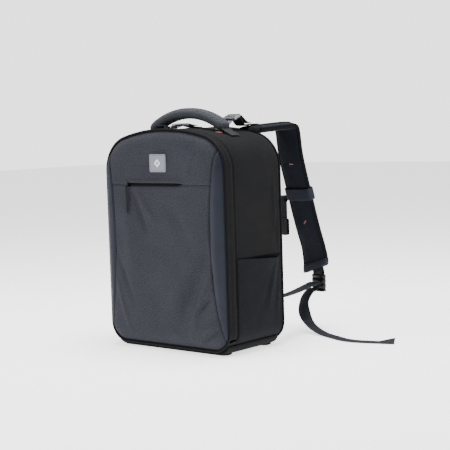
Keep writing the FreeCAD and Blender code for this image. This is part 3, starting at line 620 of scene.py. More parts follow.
for name, sign in SIDES:
    grid = np.stack([sign * x_rows, y_rows, z_rows], -1)
    dressed(sewn("side_pocket_cloth_" + name, grid), pocket_cloth, "pack",
            ["side_pocket_" + name])
    # a dark sheet just in front of the wall, from the rim up to the brow: painted shade inside the
    # open mouth, not a part of the bag
    brow = 0.1888 - 0.0016 * s
    shade_sheet_z = mouth - 0.0015 + (brow - mouth + 0.0015) * t
    grid = np.stack([sign * (0.1575 + 0.0006 + swell[-1:] + 0 * t), y + 0 * t, shade_sheet_z], -1)
    dressed(sewn("pocket_mouth_shade_%s" % name, grid), mouth_shade_sheet, "pack")

# ---- sole ----
# A moulded rubber tray under the bag, turned up at its corners, with four low feet.
low_run = np.vstack([outline(0.0)[-42:], outline(0.0)[:43]])
low_run = low_run[low_run[:, 1] < 0.0225]
section = rounded_profile(0.1600, 0.0086, 7, 72)
sole_rubber = cast("sole_rubber", (0.0020, 0.0021, 0.0025), (0.0055, 0.0057, 0.0066), 0.7,
                   0.0003, 0.6, 0.25, Specular_IOR_Level=0.10)
reach = (0.0046 + section[:, 1])[None] * np.clip((0.0235 - low_run[:, 1:2]) / 0.0095, 0.22, 1)
grid = np.stack([low_run[:, :1] + low_run[:, 2:3] * reach, section[None, :, 0] + 0 * low_run[:, :1],
                 low_run[:, 1:2] + low_run[:, 3:4] * reach], -1)
dressed(solid("sole_tray", grid), sole_rubber, "pack", ["base_sole"])
angle = np.linspace(0, 2 * math.pi, 40, endpoint=False)[None, :]
for number, (x, y) in enumerate(((-0.124, -0.062), (0.124, -0.062), (-0.124, 0.062),
                                 (0.124, 0.062))):
    wide = np.array([0.3, 0.85, 0.97, 1, 1, 0.5])[:, None]
    level = np.array([0.0002, 0.0002, 0.0008, 0.002, 0.007, 0.007])[:, None]
    grid = np.stack([x + 0.013 * wide * np.cos(angle), y + 0.015 * wide * np.sin(angle),
                     level + 0 * angle], -1)
    dressed(solid("foot_%d" % number, grid), sole_rubber, "pack")

# ---- back panel ----
# The panel against the wearer: dark cloth over foam board, turned under the rear piping.
insets = (0.0004, 0.0015, 0.003, 0.005, 0.008, 0.012, 0.018, 0.026, 0.036)
rings = [outline(inset)[:, :2] for inset in insets]
inner = rings[-1] - (0, 0.22)
rings += [(0, 0.22) + inner * scale for scale in (0.9, 0.75, 0.6, 0.45, 0.3, 0.15, 0.0)]
level = 0.0795 + 0.0030 * (1 - np.exp(-np.array(insets + (0.05,) * 7) / 0.005))
rings = np.array(rings)
grid = np.stack([rings[..., 0], level[:, None] + 0 * rings[..., 0], rings[..., 1]], -1)
back_cloth = woven("back_cloth", (0.0032, 0.0035, 0.0044), (0.0085, 0.0092, 0.0115), 0.0014,
                   where="Object", axes=(0, 2))
panel = sewn("back_cloth_panel", grid, closed=True, inside=(0, 0, 0.22))
whole = bmesh.new()
whole.from_mesh(panel.data)
bmesh.ops.remove_doubles(whole, verts=whole.verts, dist=1e-6)
whole.to_mesh(panel.data)
whole.free()
dressed(panel, back_cloth, "pack", ["back_panel"])

# ---- back pads ----
# Three foam pads covered with spacer mesh, sewn to the back panel round their edges and pressed
# into channels, so that air passes between them.


def spacer_mesh(name, dark, light, size, rough=0.85):
    """Knitted spacer mesh: rows of small holes in a raised soft net, their insides painted darker
    as painted shade.
    """
    finish = Finish(name, Roughness=rough, Sheen_Weight=0.03, Specular_IOR_Level=0.12)
    place = finish.spot("Object")[3]
    cell = finish.node("TexVoronoi", {}, {"Vector": place, "Scale": 1 / size, "Randomness": 0.25})
    net = finish.node("MapRange", {}, {0: cell, 1: 0.18, 2: 0.45, 3: 0.0, 4: 1.0})
    fuzz = finish.noise(place, 0.0008, 2.0)
    # the colour is darkest in the middle of each cell, where the holes are: painted shade in the
    # holes
    return finish.done(finish.mix(net * 0.85 + fuzz * 0.2, dark, light), net + fuzz * 0.3, 0.0006)


def pillow(low, high, back, front, corner_power, crown, rings=26, around=96):
    """A crowned closed pad: a rounded outline scaled by r, as thick as (1 - r^3.4)^0.55, flat
    against what it is sewn to."""
    angle = np.linspace(0, 2 * math.pi, around, endpoint=False)[None, :]
    c, s = np.cos(angle), np.sin(angle)
    x = (high[0] - low[0]) / 2 * np.sign(c) * np.abs(c) ** (2 / corner_power)
    z = (high[1] - low[1]) / 2 * np.sign(s) * np.abs(s) ** (2 / corner_power)
    r = np.concatenate([np.linspace(0.02, 0.9, rings), [0.93, 0.96, 0.98, 0.993, 1.0]])[:, None]
    thick = (front - back) * (1 - r ** 3.4) ** crown
    x, z = (low[0] + high[0]) / 2 + r * x, (low[1] + high[1]) / 2 + r * z
    face = np.stack([x, back + 0.0008 + thick + 0 * x, z], -1)
    return face, np.stack([x, back + 0 * x, z], -1)[::-1]


def stuffed(piece, pressure, most, voxel=0.005):
    """Let a pad swell as cloth under pressure, each point moving no further than most."""
    scene = bpy.context.scene
    bpy.context.view_layer.objects.active = piece
    remesh = piece.modifiers.new("even", "REMESH")
    remesh.mode = "VOXEL"
    remesh.voxel_size = voxel
    bpy.ops.object.modifier_apply(modifier="even")
    start = np.zeros(len(piece.data.vertices) * 3)
    piece.data.vertices.foreach_get("co", start)
    cloth = piece.modifiers.new("swell", "CLOTH")
    cloth.settings.quality = 5
    cloth.settings.use_pressure = True
    cloth.settings.uniform_pressure_force = pressure
    cloth.settings.effector_weights.gravity = 0
    cloth.settings.tension_stiffness = cloth.settings.compression_stiffness = 40
    for number in range(1, 21):
        scene.frame_set(number)
    swollen = piece.evaluated_get(bpy.context.evaluated_depsgraph_get())
    end = np.zeros(len(start))
    swollen.data.vertices.foreach_get("co", end)
    piece.modifiers.remove(cloth)
    scene.frame_set(1)
    move = (end - start).reshape(-1, 3)
    far = np.linalg.norm(move, axis=1)[:, None]
    move *= np.minimum(1, most / np.maximum(far, 1e-9))
    piece.data.vertices.foreach_set("co", (start.reshape(-1, 3) + move).ravel())
    piece.data.update()
    piece.data.polygons.foreach_set("use_smooth", [True] * len(piece.data.polygons))
    return piece


def channelled(piece, back, lines, width, share_left):
    """Press sewn channels into a pad's face: near each line its height over the back shrinks."""
    count = len(piece.data.vertices)
    spots = np.zeros(count * 3)
    piece.data.vertices.foreach_get("co", spots)
    spots = spots.reshape(-1, 3)
    squeeze = np.ones(count)
    for (x, z), (dx, dz) in lines:
        off = (spots[:, 0] - x) * dz - (spots[:, 2] - z) * dx
        squeeze = np.minimum(squeeze, 1 - (1 - share_left) * bell(off, width))
    over = np.clip(spots[:, 1] - back, 0, None)
    spots[:, 1] -= over * (1 - squeeze)
    piece.data.vertices.foreach_set("co", spots.ravel())
    piece.data.update()


pad_mesh = spacer_mesh("pad_mesh", (0.0040, 0.0043, 0.0052), (0.0200, 0.0212, 0.0245), 0.0030)
slope = (math.cos(0.35), math.sin(0.35))
for name, low, high, thick, replaced, lines in (
        ("left", (-0.117, 0.151), (-0.019, 0.384), 0.0120, "back_pad_left",
         [((-0.068, z), (slope[0], slope[1])) for z in (0.205, 0.262, 0.319)]),
        ("right", (0.019, 0.151), (0.117, 0.384), 0.0120, "back_pad_right",
         [((0.068, z), (slope[0], -slope[1])) for z in (0.205, 0.262, 0.319)]),
        ("lumbar", (-0.117, 0.053), (0.117, 0.137), 0.0140, "lumbar_pad",
         [((x, 0.095), (0.0, 1.0)) for x in (-0.058, 0.0, 0.058)])):
    face, flat_back = pillow(low, high, 0.0827, 0.0827 + thick - 0.0025, 5, 0.5)
    pad = solid("pad_" + name, np.vstack([face, flat_back]))
    stuffed(pad, 4.0, 0.0035, 0.0045)
    finer = pad.modifiers.new("finer", "SUBSURF")
    finer.levels = finer.render_levels = 1
    bpy.context.view_layer.objects.active = pad
    bpy.ops.object.modifier_apply(modifier="finer")
    channelled(pad, 0.0827, lines, 0.0045, 0.35)
    pad.data.polygons.foreach_set("use_smooth", [True] * len(pad.data.polygons))
    dressed(pad, pad_mesh, "pack", [replaced])

# ---- strap yoke ----
# A doubled strip of cloth that ties both strap roots to the back panel, boxed with stitches.
x, t = np.linspace(-0.100, 0.100, 120)[None, :], spread(18)[:, None]
z = 0.395 + 0.025 * t + 0 * x
rise = 0.0029 * (1 - np.maximum(np.abs(x / 0.1),
                                np.abs(2 * t - 1)) ** 14) - 0.0008 * bell(np.abs(2 * t - 1) - 0.72,
                                                                          0.09)
yoke = np.stack([x + 0 * t, 0.0829 + rise, z], -1)
yoke_cloth = woven("yoke_cloth", (0.0035, 0.0038, 0.0047), (0.0095, 0.0102, 0.0125), 0.0011,
                   seams=(0.0035, 0.0215), thread=(0.05, 0.05, 0.055))
dressed(sewn("yoke_strip", yoke, inside=(0, 0, 0.4)), yoke_cloth, "pack",
        ["strap_yoke"])

# ---- inside ----
# Black lining over the wall, two cut foam blocks, a sleeve behind them, webbing over the drone
# well, and a board and a net pocket in the lid.
lining = woven("lining", (0.010, 0.010, 0.012), (0.024, 0.024, 0.028), 0.0009, where="Object",
               axes=(0, 2))
surfaced(lining, "gusset_liner", "back_board", "sleeve_panel", "lid_board")
finish = Finish("cut_foam", Roughness=0.95)
place = finish.spot("Object")[3]
pores = finish.node("TexVoronoi", {}, {"Vector": place, "Scale": 900.0})
cloud = finish.noise(place, 0.05)
# the colour is darker in the middle of each pore: painted shade in the pores
cut_foam = finish.done(finish.mix(pores * 0.8 + cloud * 0.3, (0.012, 0.012, 0.014),
                                  (0.034, 0.034, 0.037)), pores, 0.0004)
surfaced(cut_foam, "foam_upper", "foam_lower")


def webbing(name, dark, light, where="UV", axes=(0, 1), sheen=0.03):
    """Ribbed polyester webbing: raised ribs along it and finer threads across."""
    finish = Finish(name, Roughness=0.62, Sheen_Weight=sheen, Specular_IOR_Level=0.2)
    spot = finish.spot(where)
    ribs, picks = finish.wave(spot[axes[0]], 0.0017), finish.wave(spot[axes[1]], 0.0011)
    slub = finish.noise(finish.spot("Object")[3], 0.0012, 2.0)
    shade = ribs * 0.25 + picks * 0.15 + slub * 0.5 + 0.2
    return finish.done(finish.mix(shade, dark, light), ribs * 0.6 + picks * 0.3, 0.0003)


flat_web = webbing("webbing_flat", (0.006, 0.007, 0.009), (0.018, 0.019, 0.023), "Object", (2, 0))
surfaced(flat_web, "retainer_straps", "strap_anchors")
u, v = np.linspace(-1, 1, 70)[None, :], spread(60)[:, None]
bulge = (1 - np.abs(u) ** 6) * (0.25 + 0.75 * v) * (1 - (1 - held(v / 0.06)) ** 2)
grid = np.stack([0.111 * u + 0 * v, -0.0781 + 0.0100 * bulge,
                 0.061 + 0.269 * v - 0.004 * (1 - u ** 2) * v], -1)
grid = np.vstack([grid, grid[-1:] + (0, -0.0015, 0.0005), grid[-1:] + (0, -0.002, -0.010)])
net = spacer_mesh("pocket_net", (0.006, 0.006, 0.007), (0.032, 0.033, 0.037), 0.0024)
dressed(sewn("lid_net_pocket", grid, inside=(0, -0.3, 0.2)), net, "front_lid",
        ["lid_mesh_pocket"])

# ---- carry handle ----
# A foam roll covered in dark spacer mesh, its seam underneath, on webbing tabs sewn down over the
# shoulders of the bag; a short red tack marks the wearer's right end.
turn = np.linspace(-1, 1, 110)
lean = np.radians(35.6) * turn
path = np.stack([0.1628 * np.sin(lean), np.full(110, -0.005), 0.3078 + 0.1628 * np.cos(lean)], -1)
end_on = held((1 - np.abs(turn)) / 0.16)
full = (end_on * (2 - end_on)) ** 0.5
size = np.stack([0.0240 + 0.0076 * full, 0.0100 + 0.0122 * full], -1)
around = rounded_profile(1, 1, 2.4, 48)
pucker = 1 - 0.05 * bell(np.arctan2(around[:, 1], around[:, 0]) + math.pi / 2, 0.16)
grip = solid("grip_roll",
             carried(path, (0, -1, 0), around[None] * pucker[None, :, None] * size[:, None]))
grip_mesh = spacer_mesh("grip_mesh", (0.0010, 0.0012, 0.0016), (0.0420, 0.0465, 0.0540), 0.0046)
dressed(grip, grip_mesh, "handle", ["handle_grip"])


def roof(x):
    """The height of the bag's top at a distance from the middle: crown arc, then shoulder arc."""
    x = np.abs(x)
    return np.where(x < 0.0746, 0.040 + np.sqrt(0.16 - x ** 2),
                    0.3582 + np.sqrt(np.clip(0.0049 - (x - 0.0875) ** 2, 0, None)))


def laid(points, steps):
    """Even points along the smooth NURBS line that the given points control."""
    curve = bpy.data.curves.new("line", "CURVE")
    curve.dimensions = "3D"
    spline = curve.splines.new("NURBS")
    spline.points.add(len(points) - 1)
    spline.points.foreach_set("co", np.column_stack([points, np.ones(len(points))]).ravel())
    spline.order_u = 3
    spline.use_endpoint_u = True
    curve.resolution_u = 24
    holder = bpy.data.objects.new("line", curve)
    mesh = bpy.data.meshes.new_from_object(holder)
    line = np.zeros(len(mesh.vertices) * 3)
    mesh.vertices.foreach_get("co", line)
    bpy.data.objects.remove(holder)
    bpy.data.curves.remove(curve)
    bpy.data.meshes.remove(mesh)
    return along(line.reshape(-1, 3), spread(steps))


dark_web = webbing("webbing_dark", (0.0052, 0.0062, 0.0092), (0.0150, 0.0172, 0.0235))
tab_web = webbing("webbing_tab", (0.0016, 0.0017, 0.0020), (0.0048, 0.0050, 0.0056))
web_section = rounded_profile(0.025, 0.0018, 6, 28)
for name, sign in SIDES:
    line = [(0.088, 0.4435), (0.096, 0.4380), (0.103, 0.4330), (0.109, 0.4300), (0.115, 0.4272),
            (0.121, 0.4240)]
    path = laid([(sign * x, -0.005, z) for x, z in line], 40)
    grid = carried(path, (0, 1, 0), web_section * (1.04, 1.1))
    dressed(solid("handle_tab_web_" + name, grid), tab_web, "pack",
            ["handle_tabs"] if name == "left" else [])


def tack_thread(name, dark, light):
    """Bar-tack thread: tight satin stitches across a short bar."""
    finish = Finish(name, Roughness=0.45, Sheen_Weight=0.3)
    spot = finish.spot("UV")
    stitch = finish.wave(spot[1], 0.0006)
    return finish.done(finish.mix(stitch * 0.4 + 0.5, dark, light), stitch, 0.0002)


red_thread = tack_thread("red_thread", (0.12, 0.004, 0.006), (0.42, 0.02, 0.025))
path_x = np.linspace(0.077, 0.099, 24)
path = np.stack([path_x, np.full(24, -0.0225), roof(path_x) + 0.0030], -1)
tack = solid("handle_tack", carried(path, (0, 1, 0), rounded_profile(0.0050, 0.0022, 3, 16)))
dressed(tack, red_thread, "pack")

# ---- load lifters ----
# Light webbing from the top seam runs up through a metal ladder lock; dark webbing comes back
# from the lock to the top of the strap.
lock_grey = cast("lock_grey", (0.20, 0.205, 0.22), (0.34, 0.345, 0.36), 0.35,
                 0.00006, 0.28, 0.2, Metallic=0.6)
surfaced(lock_grey, "lifter_locks")
light_web = webbing("webbing_light", (0.050, 0.053, 0.062), (0.125, 0.130, 0.145))
LIFTERS = {
    "left": (-1, [(4, 435.2), (13, 438.4), (26, 442.5), (36, 444.6), (39.5, 446.5), (38, 448.2),
                  (33, 446.2)],
             [(44, 447.8), (50, 450), (58, 450.4), (68, 448.6), (78, 446.6), (88, 445.6)]),
    "right": (1, [(4, 435.2), (13, 438.4), (26, 447.5), (36, 454.5), (39.5, 458), (38, 460),
                  (33, 457)],
              [(44, 459), (50, 463.2), (60, 464.5), (69, 458.5), (78, 451.2), (86, 448.2),
              (93, 447.8)]),
}
for name, (sign, web_line, tail_line) in LIFTERS.items():
    x = sign * LIFTER_X
    for piece_name, line, cloth, kind, stands_for in (
            ("lifter_web_", web_line, light_web, "webbing_light", "lifter_anchors"),
            ("lifter_tail_", tail_line, dark_web, "webbing_dark", None)):
        path = laid([(x, y / 1000, z / 1000) for y, z in line], 44)
        piece = solid(piece_name + name, carried(path, (1, 0, 0), web_section))
        dressed(piece, cloth, "pack", [stands_for] if stands_for and name == "left" else [])

# ---- shoulder straps ----
# Curved foam pads in dark cloth with bound edges, webbing sewn down the outer face, and red bar
# tacks through both. The right one stands out and folds over; the left one hangs closer.
STRAP_X = 0.075  # how far the straps' roots lie from the middle
LOCK_X = 0.008  # how far the lower locks lie outside the straps' middles
SPLAY = math.radians(8)  # the straps' turn outwards
KEEPER_Z = 0.295  # the height of the keepers' middles
STRAPS = {
    "right": (1, [(12, 433), (60, 436), (104, 438.5), (119, 439), (123.5, 420), (128, 378),
                  (152, 298.5), (176, 219),
                  (199, 160), (198, 132)], 153.0, 16.7),
    "left": (-1,
             [(12, 433), (46, 431), (84, 392), (122, 300), (145, 247.5), (168, 195), (180, 156),
              (180, 132)],
             124.2, 23.7),
}


def placed(sign, points):
    """From a strap's own frame (across, away from the pack, up) to the bag's."""
    points = np.asarray(points, float)
    turned = SPLAY * sign
    c, s = math.cos(turned), math.sin(turned)
    return np.stack([sign * STRAP_X + c * points[..., 0] + s * points[..., 1],
                     BACK - s * points[..., 0] + c * points[..., 1], points[..., 2]], -1)


def slanted(sign, grid):
    """Raise the outer corner of the pad's lower end and drop the inner one."""
    near_end = held((0.172 - grid[..., 2]) / 0.032)
    grid = grid.copy()
    grid[..., 2] += near_end * (grid[..., 0] * sign / 0.031) * 0.0105
    return grid


strap_cloth = woven("strap_cloth", (0.0058, 0.0070, 0.0106), (0.0150, 0.0174, 0.0250), 0.0010)
edging = woven("strap_edging", (0.0015, 0.0016, 0.0020), (0.0042, 0.0044, 0.0050), 0.0012,
               rough=0.6)
end_cloth = woven("strap_end_cloth", (0.0120, 0.0140, 0.0205), (0.0270, 0.0305, 0.0420), 0.0010,
                  rough=0.6)
keeper_cloth = woven("keeper_cloth", (0.0115, 0.0134, 0.0200), (0.0240, 0.0272, 0.0380), 0.0012,
                     rough=0.6)
lock_black = cast("lock_black", (0.0016, 0.0016, 0.0020), (0.0050, 0.0050, 0.0060), 0.3,
                  0.00004, 0.26, 0.18, Specular_IOR_Level=0.25)
for name, (sign, route, keeper_y, keeper_tilt) in STRAPS.items():
    body = "strap_" + name
    path = laid([(0, y / 1000, z / 1000) for y, z in route], 150)
    step = spread(150)
    taper = np.clip(step / 0.02, 0.3, 1) * np.clip((1 - step) / 0.012, 0.45, 1) ** 0.5
    size = np.stack([0.0620 * np.clip((1 - step) / 0.006, 0.9, 1), 0.0156 * taper], -1)
    grid = carried(path, (-1, 0, 0), rounded_profile(1, 1, 3.2, 56)[None] * size[:, None])
    crease = sum(bell(step - at, 0.006) * deep for at,
                 deep in ((0.232, 0.0016), (0.262, 0.0012), (0.86, 0.0008)))
    grid[..., 1] += crease[:, None] * np.cos(grid[..., 0] / 0.062 * 7 + 0.6)
    pad = solid("strap_foam_" + name, placed(sign, slanted(sign, grid)))
    dressed(pad, strap_cloth, body, ["strap_pad_" + name])
    for letter, place_x in (("a", 0.0314), ("b", -0.0314)):
        rim = rounded_profile(0.0046, 0.0094, 2.4, 20) + (place_x, 0)
        grid = carried(path, (-1, 0, 0), rim)
        dressed(solid("strap_edging_%s_%s" % (name, letter), placed(sign, slanted(sign, grid))),
                edging, body, ["strap_binding_" + name] if letter == "a" else [])
    part = path[(step > 0.03) & (step < 0.965)]
    grid = carried(part, (-1, 0, 0), web_section + (0, 0.0088))
    dressed(solid("strap_web_" + name, placed(sign, grid)), dark_web, body,
            ["strap_rail_" + name])
    for number, (height, slope, shift) in enumerate(((0.360, 0.0, 0.004), (0.235, 0.75, 0.004))):
        at = int(np.argmin(np.abs(path[60:, 2] - height))) + 60
        head = path[at + 1] - path[at - 1]
        head = head / np.linalg.norm(head)
        face = np.array([0, head[2], -head[1]])
        for side_name, lift in (("in", 0.0079), ("out", -0.0101)):
            run = np.array([math.cos(slope), 0, 0]) * sign + -head * math.sin(slope)
            bar = path[at] + np.array([sign * shift, 0,
                                       0]) + face * lift + run * np.linspace(-0.0058, 0.0058,
                                                                             14)[:, None]
            grid = carried(bar, np.cross(run, face), rounded_profile(0.0026, 0.0012, 3, 14))
            dressed(solid("tack_%s_%s_%d" % (side_name, name, number), placed(sign, grid)),
                    red_thread, body)

    # the lower end: a folded cloth sleeve round the pad's end, and a webbing loop to the lock
    base_y, base_z = route[-1][0] / 1000, route[-1][1] / 1000
    rows = np.array([(-0.004, 0.90), (-0.003, 1.0), (0.002, 1.02), (0.008, 1.02), (0.0125, 1.0),
                     (0.013, 0.92)])
    sleeve = rounded_profile(0.0680, 0.0195, 3.0, 64)[None] * rows[:, 1][:, None, None]
    grid = np.stack([sleeve[..., 0], base_y + sleeve[..., 1],
                     base_z + 0 * sleeve[..., 0] + rows[:, :1]], -1)
    dressed(solid("strap_end_sleeve_" + name, placed(sign, slanted(sign, grid))), end_cloth, body,
            ["strap_end_" + name])
    lock_x = sign * LOCK_X
    loop = [(base_y + 0.001, base_z + 0.002), (base_y + 0.0045, base_z - 0.006),
            (base_y + 0.0045, 0.1170), (base_y, 0.1070),
            (base_y - 0.0045, 0.1170), (base_y - 0.0045, base_z - 0.006),
            (base_y - 0.001, base_z + 0.002)]
    grid = carried(laid([(lock_x, y, z) for y, z in loop], 60), (1, 0, 0), web_section)
    dressed(solid("lock_loop_" + name, placed(sign, grid)), dark_web, body)
    fall = spread(70)
    path = np.stack([np.full(70, lock_x), np.full(70, base_y), 0.1185 - 0.0385 * fall], -1)
    end = np.sqrt(np.clip(1 - held(np.abs(fall - 0.5) * 2 - 0.90) ** 2 / 0.0100, 0.08, 1))
    bars = 0.0072 + 0.0050 * np.abs(np.sin(fall * 3.5 * math.pi + 0.6)) ** 0.6
    shape = rounded_profile(1, 1, 3.4, 40)[None] * np.stack([0.0360 * end, 1.15 * bars * end],
                                                            -1)[:, None]
    dressed(solid("lock_body_" + name, placed(sign, carried(path, (1, 0, 0), shape))), lock_black,
            body,
            ["ladder_lock_" + name])

    # the keeper slides on the pad: a flat cloth sleeve with turned edges
    tilt = math.radians(keeper_tilt)
    down = np.array([0, math.sin(tilt), -math.cos(tilt)])
    out = np.array([0, math.cos(tilt), math.sin(tilt)])
    rows = np.array([(-0.0128, 0.93), (-0.0131, 0.97), (-0.0125, 1.0), (-0.008, 1.005),
                     (0.008, 1.005), (0.0125, 1.0), (0.0131, 0.97), (0.0128, 0.93)])
    ring_shape = rounded_profile(0.0722, 0.0232, 4.0, 72)[None] * rows[:, 1][:, None, None]
    grid = (np.array([0, keeper_y / 1000, KEEPER_Z]) + down * rows[:, :1, None]
            + np.array([1.0, 0, 0]) * ring_shape[..., :1]
            + out * (ring_shape[..., 1:] + 0.0008))
    dressed(sewn("keeper_sleeve_" + name, placed(sign, grid), closed=True,
                 inside=placed(sign, (0, keeper_y / 1000, KEEPER_Z))),
            keeper_cloth, "keeper_" + name, ["keeper_" + name])

    # half of the chest strap hangs from the keeper's inner side
    hang_x = -sign * 0.0477
    line = [(-sign * 0.0355, 0.2900), (-sign * 0.0420, 0.2893), (hang_x, 0.2830), (hang_x, 0.2600),
            (hang_x, 0.2350)]
    path = laid([(x, keeper_y / 1000 - 0.001, z) for x, z in line], 40)
    chest_x = held((0.289 - path[:, 2]) / 0.012)[:, None]
    across = np.array([sign * 0.35, 1, 0]) * (1 - chest_x) + np.array([1.0, 0.0, 0]) * chest_x
    grid = carried(path, across, rounded_profile(0.020, 0.0016, 6, 28))
    dressed(solid("chest_web_" + name, placed(sign, grid)), dark_web, "chest_strap_" + name,
            ["chest_webbing_" + name])
    surfaced(lock_black, "chest_buckle_" + name)

# ---- strap roots, lower webbing and tails ----
# Where a strap is sewn to the back a padded root bends up from the yoke into the strap. Webbing
# from the bag's lower corner runs up to the ladder lock, and its free end hangs to the floor.
LOWER = {"right": (0.146, 0.097, 13.0, 0.172), "left": (-0.146, 0.097, -15.5, 0.152)}
TAILS = {
    "right": ([(101, 268, 88), (99, 246, 78), (101, 228, 52), (120, 220, 20), (160, 211, 3.0),
               (207, 193, 1.6), (250, 174, 1.6),
               (299, 183, 1.6), (345, 202, 1.6)], 0.330),
    "left": ([(-98, 252, 88), (-94, 240, 70), (-92, 240, 42), (-86, 228, 14), (-64, 206, 2.2),
              (-30, 190, 1.6), (8, 196, 1.6),
              (40, 214, 1.6)], 0.222),
}
LIFTER_STRAPS = {
    "right": [(47, 457.5), (51, 460), (58, 459.8), (64, 453), (70, 445.2), (80, 442),
              (94, 444), (108, 445), (118, 445.4)],
    "left": [(47, 446), (51, 447.8), (60, 448), (70, 445.6), (80, 443.2), (92, 442.4),
             (102, 442)],
}


def bridging(piece, cloth, side, replaces=None):
    """Give a piece that lies between the pack and a strap its finish, hide the CAD solids it stands
    for, and bake its placing into its mesh.
    """
    piece.data.materials.append(cloth)
    if replaces is not None:
        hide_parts(*replaces)
    "strap_" + side
    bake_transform(piece)


root_cloth = woven("root_cloth", (0.0030, 0.0033, 0.0042), (0.0080, 0.0087, 0.0110), 0.0011)
for name, (sign, route, *_) in STRAPS.items():
    path = laid([(0, 0.0030, 0.400), (0, 0.0038, 0.412), (0, 0.0050, 0.4300), (0, 0.0130, 0.4335),
                 (0, 0.0220, 0.4336)], 40)
    step = spread(40)[:, None]
    size = np.hstack([0.0640 + 0 * step, 0.0030 + 0.0140 * held((step - 0.25) / 0.45) ** 0.8])
    grid = carried(path, (-1, 0, 0), rounded_profile(1, 1, 3.0, 48)[None] * size[:, None])
    root = solid("strap_root_" + name, placed(sign, grid))
    ends = placed(sign, [(0, 0.0040, 0.420), (0, 0.0200, 0.4335)])
    bridging(root, root_cloth, name)

    x = sign * LIFTER_X
    path = laid([(x, y / 1000, z / 1000) for y, z in LIFTER_STRAPS[name]], 60)
    strip = solid("lifter_strap_web_" + name, carried(path, (1, 0, 0), web_section))
    bridging(strip, dark_web, name,
             ["lifter_straps"] if name == "left" else [])

    x, y, heading, length = LOWER[name]
    along_it = np.array([-math.sin(math.radians(heading)), math.cos(math.radians(heading))])
    line = [(x, y - 0.006, 0.095)] + [(x + along_it[0] * d, y + along_it[1] * d, z)
                                      for d,
                                      z in ((0.010, 0.095), (length * 0.35, 0.0950),
                                            (length * 0.7, 0.0975), (length, 0.1010))]
    path = laid(line, 80)
    twist = spread(80)[:, None]
    across = np.array([along_it[1], -along_it[0], 0.05]) * (1 - twist) + np.array([along_it[1],
                                                                                   -along_it[0],
                                                                                   -0.03]) * twist
    strip = solid("lower_web_" + name, carried(path, across, web_section))
    bridging(strip, dark_web, name,
             ["lower_webbing_" + name])

    base_y, base_z = route[-1][0] / 1000, 0.140
    points, long = TAILS[name]
    points = np.array(points) / 1000
    lock_x = sign * LOCK_X
    own = SPLAY * sign
    c, s = math.cos(own), math.sin(own)
    gone = points[0] - (sign * STRAP_X, BACK, 0)
    start = (c * gone[0] - s * gone[1], s * gone[0] + c * gone[1], points[0][2])
    wrap = [(lock_x, base_y + 0.0080, base_z - 0.047), (lock_x, base_y + 0.0050, base_z - 0.040),
            (lock_x, base_y + 0.0015, base_z - 0.0345),
            (lock_x, base_y - 0.0050, base_z - 0.0350), (lock_x, base_y - 0.0055, base_z - 0.0420),
            ((lock_x + start[0]) / 2, (base_y - 0.006 + start[1]) / 2, base_z - 0.0480),
            start]
    grid = carried(laid(wrap, 50), (1, 0, 0), web_section * (0.98, 0.98))
    dressed(solid("lock_wrap_" + name, placed(sign, grid)), dark_web, "strap_" + name)

    path = laid(points, 220)
    head = np.gradient(path, axis=0)
    flat = np.stack([-head[:, 1], head[:, 0], 0 * head[:, 0]], 1) * sign
    flat /= np.linalg.norm(flat, axis=1)[:, None]
    lock_side = np.array([c, -s, 0.0])
    down = held((0.075 - path[:, 2]) / 0.065)[:, None]
    down = down * down * (3 - 2 * down)
    sense = np.sign((flat[120] * lock_side).sum())
    across = lock_side * (1 - down) + flat * sense * down
    step = spread(220)[:, None]
    across = across + np.array([0, 0, 0.35]) * held((step - 0.90) / 0.10)
    path[:, 2] += 0.0035 * held((step[:, 0] - 0.90) / 0.10)
    tail = solid("web_tail_" + name, carried(path, across, web_section))
    dressed(tail, dark_web, "strap_" + name, ["webbing_tail_" + name])

# ---- zip-end tab ----
# A folded tab of black tape at the lower left end of the main zip, to hold while it is drawn.
path = laid([(x, -0.0605, z) for x,
             z in ((-0.1570, 0.060), (-0.1640, 0.0592), (-0.1670, 0.0560), (-0.1640, 0.0528),
                   (-0.1570, 0.0520))], 30)
dressed(solid("zip_end_tab", carried(path, (0, 1, 0), rounded_profile(0.012, 0.0014, 6, 20))),
        dark_web, "pack")

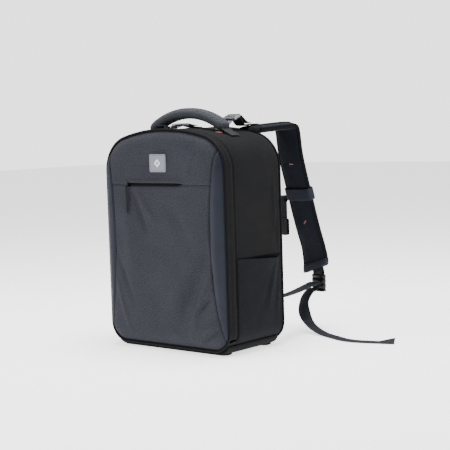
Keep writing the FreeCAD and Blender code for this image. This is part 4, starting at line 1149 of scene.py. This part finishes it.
# ---- studio ----
# A glowing pale floor under a bright backdrop, a large soft light before and to the left, one
# overhead and a weak one at the right; a long lens from the front right.
white = Finish("floor_white", Roughness=0.9, Emission_Strength=1.5)
white.shader.inputs["Emission Color"].default_value = tint(1.0, 1.0, 1.0)
floor_colour = white.mix(white.noise(white.spot("Object")[3], 0.5), (0.93, 0.93, 0.93),
                         (0.95, 0.95, 0.95))
floor_mesh = bpy.data.meshes.new("floor")
floor_mesh.from_pydata([(-9, -9, 0), (9, -9, 0), (9, 9, 0), (-9, 9, 0)], [], [(0, 1, 2, 3)])
floor = bpy.data.objects.new("floor", floor_mesh)
floor.data.materials.append(white.done(floor_colour))
bpy.context.scene.collection.objects.link(floor)
sky = bpy.data.worlds.new("sky")
sky.use_nodes = True
sky.node_tree.nodes["Background"].inputs["Color"].default_value = tint(1.0, 1.0, 1.0)
sky.node_tree.nodes["Background"].inputs["Strength"].default_value = 1.0
seen = sky.node_tree.nodes.new("ShaderNodeLightPath").outputs["Is Camera Ray"]
brighter = sky.node_tree.nodes.new("ShaderNodeMath")
brighter.operation = "MULTIPLY_ADD"
brighter.inputs[1].default_value, brighter.inputs[2].default_value = 2.0, 0.45
sky.node_tree.links.new(seen, brighter.inputs[0])
sky.node_tree.links.new(brighter.outputs[0], sky.node_tree.nodes["Background"].inputs["Strength"])
bpy.context.scene.world = sky


def lamp(name, place, aim, size, power):
    """A square soft light at a place, turned to a point."""
    light = bpy.data.lights.new(name, "AREA")
    light.size, light.energy = size, power
    piece = bpy.data.objects.new(name, light)
    piece.location = place
    piece.rotation_euler = (Vector(aim) - Vector(place)).to_track_quat("-Z", "Y").to_euler()
    bpy.context.scene.collection.objects.link(piece)


lamp("key", (-1.5, -2.2, 1.7), (0, 0, 0.22), 1.2, 62)
lamp("overhead", (0.15, 0.1, 2.1), (0, 0, 0.2), 1.2, 95)
lamp("edge", (2.2, 1.2, 1.0), (0, 0, 0.2), 1.0, 8)

eye, target, roll = Vector((1.5967, -1.8184, 0.4464)), Vector((0.0485, 0.0404,
                                                               0.2423)), math.radians(-1.77)
ahead = (target - eye).normalized()
level = ahead.cross(Vector((0, 0, 1))).normalized()
above = level.cross(ahead)
right = level * math.cos(roll) + above * math.sin(roll)
top = above * math.cos(roll) - level * math.sin(roll)
camera = bpy.data.objects.new("camera", bpy.data.cameras.new("camera"))
camera.data.lens, camera.data.sensor_width = 95.5, 36
camera.matrix_world = Matrix(((right.x, top.x, -ahead.x, eye.x), (right.y, top.y, -ahead.y, eye.y),
                              (right.z, top.z, -ahead.z, eye.z), (0, 0, 0, 1)))
bpy.context.scene.collection.objects.link(camera)
bpy.context.scene.camera = camera
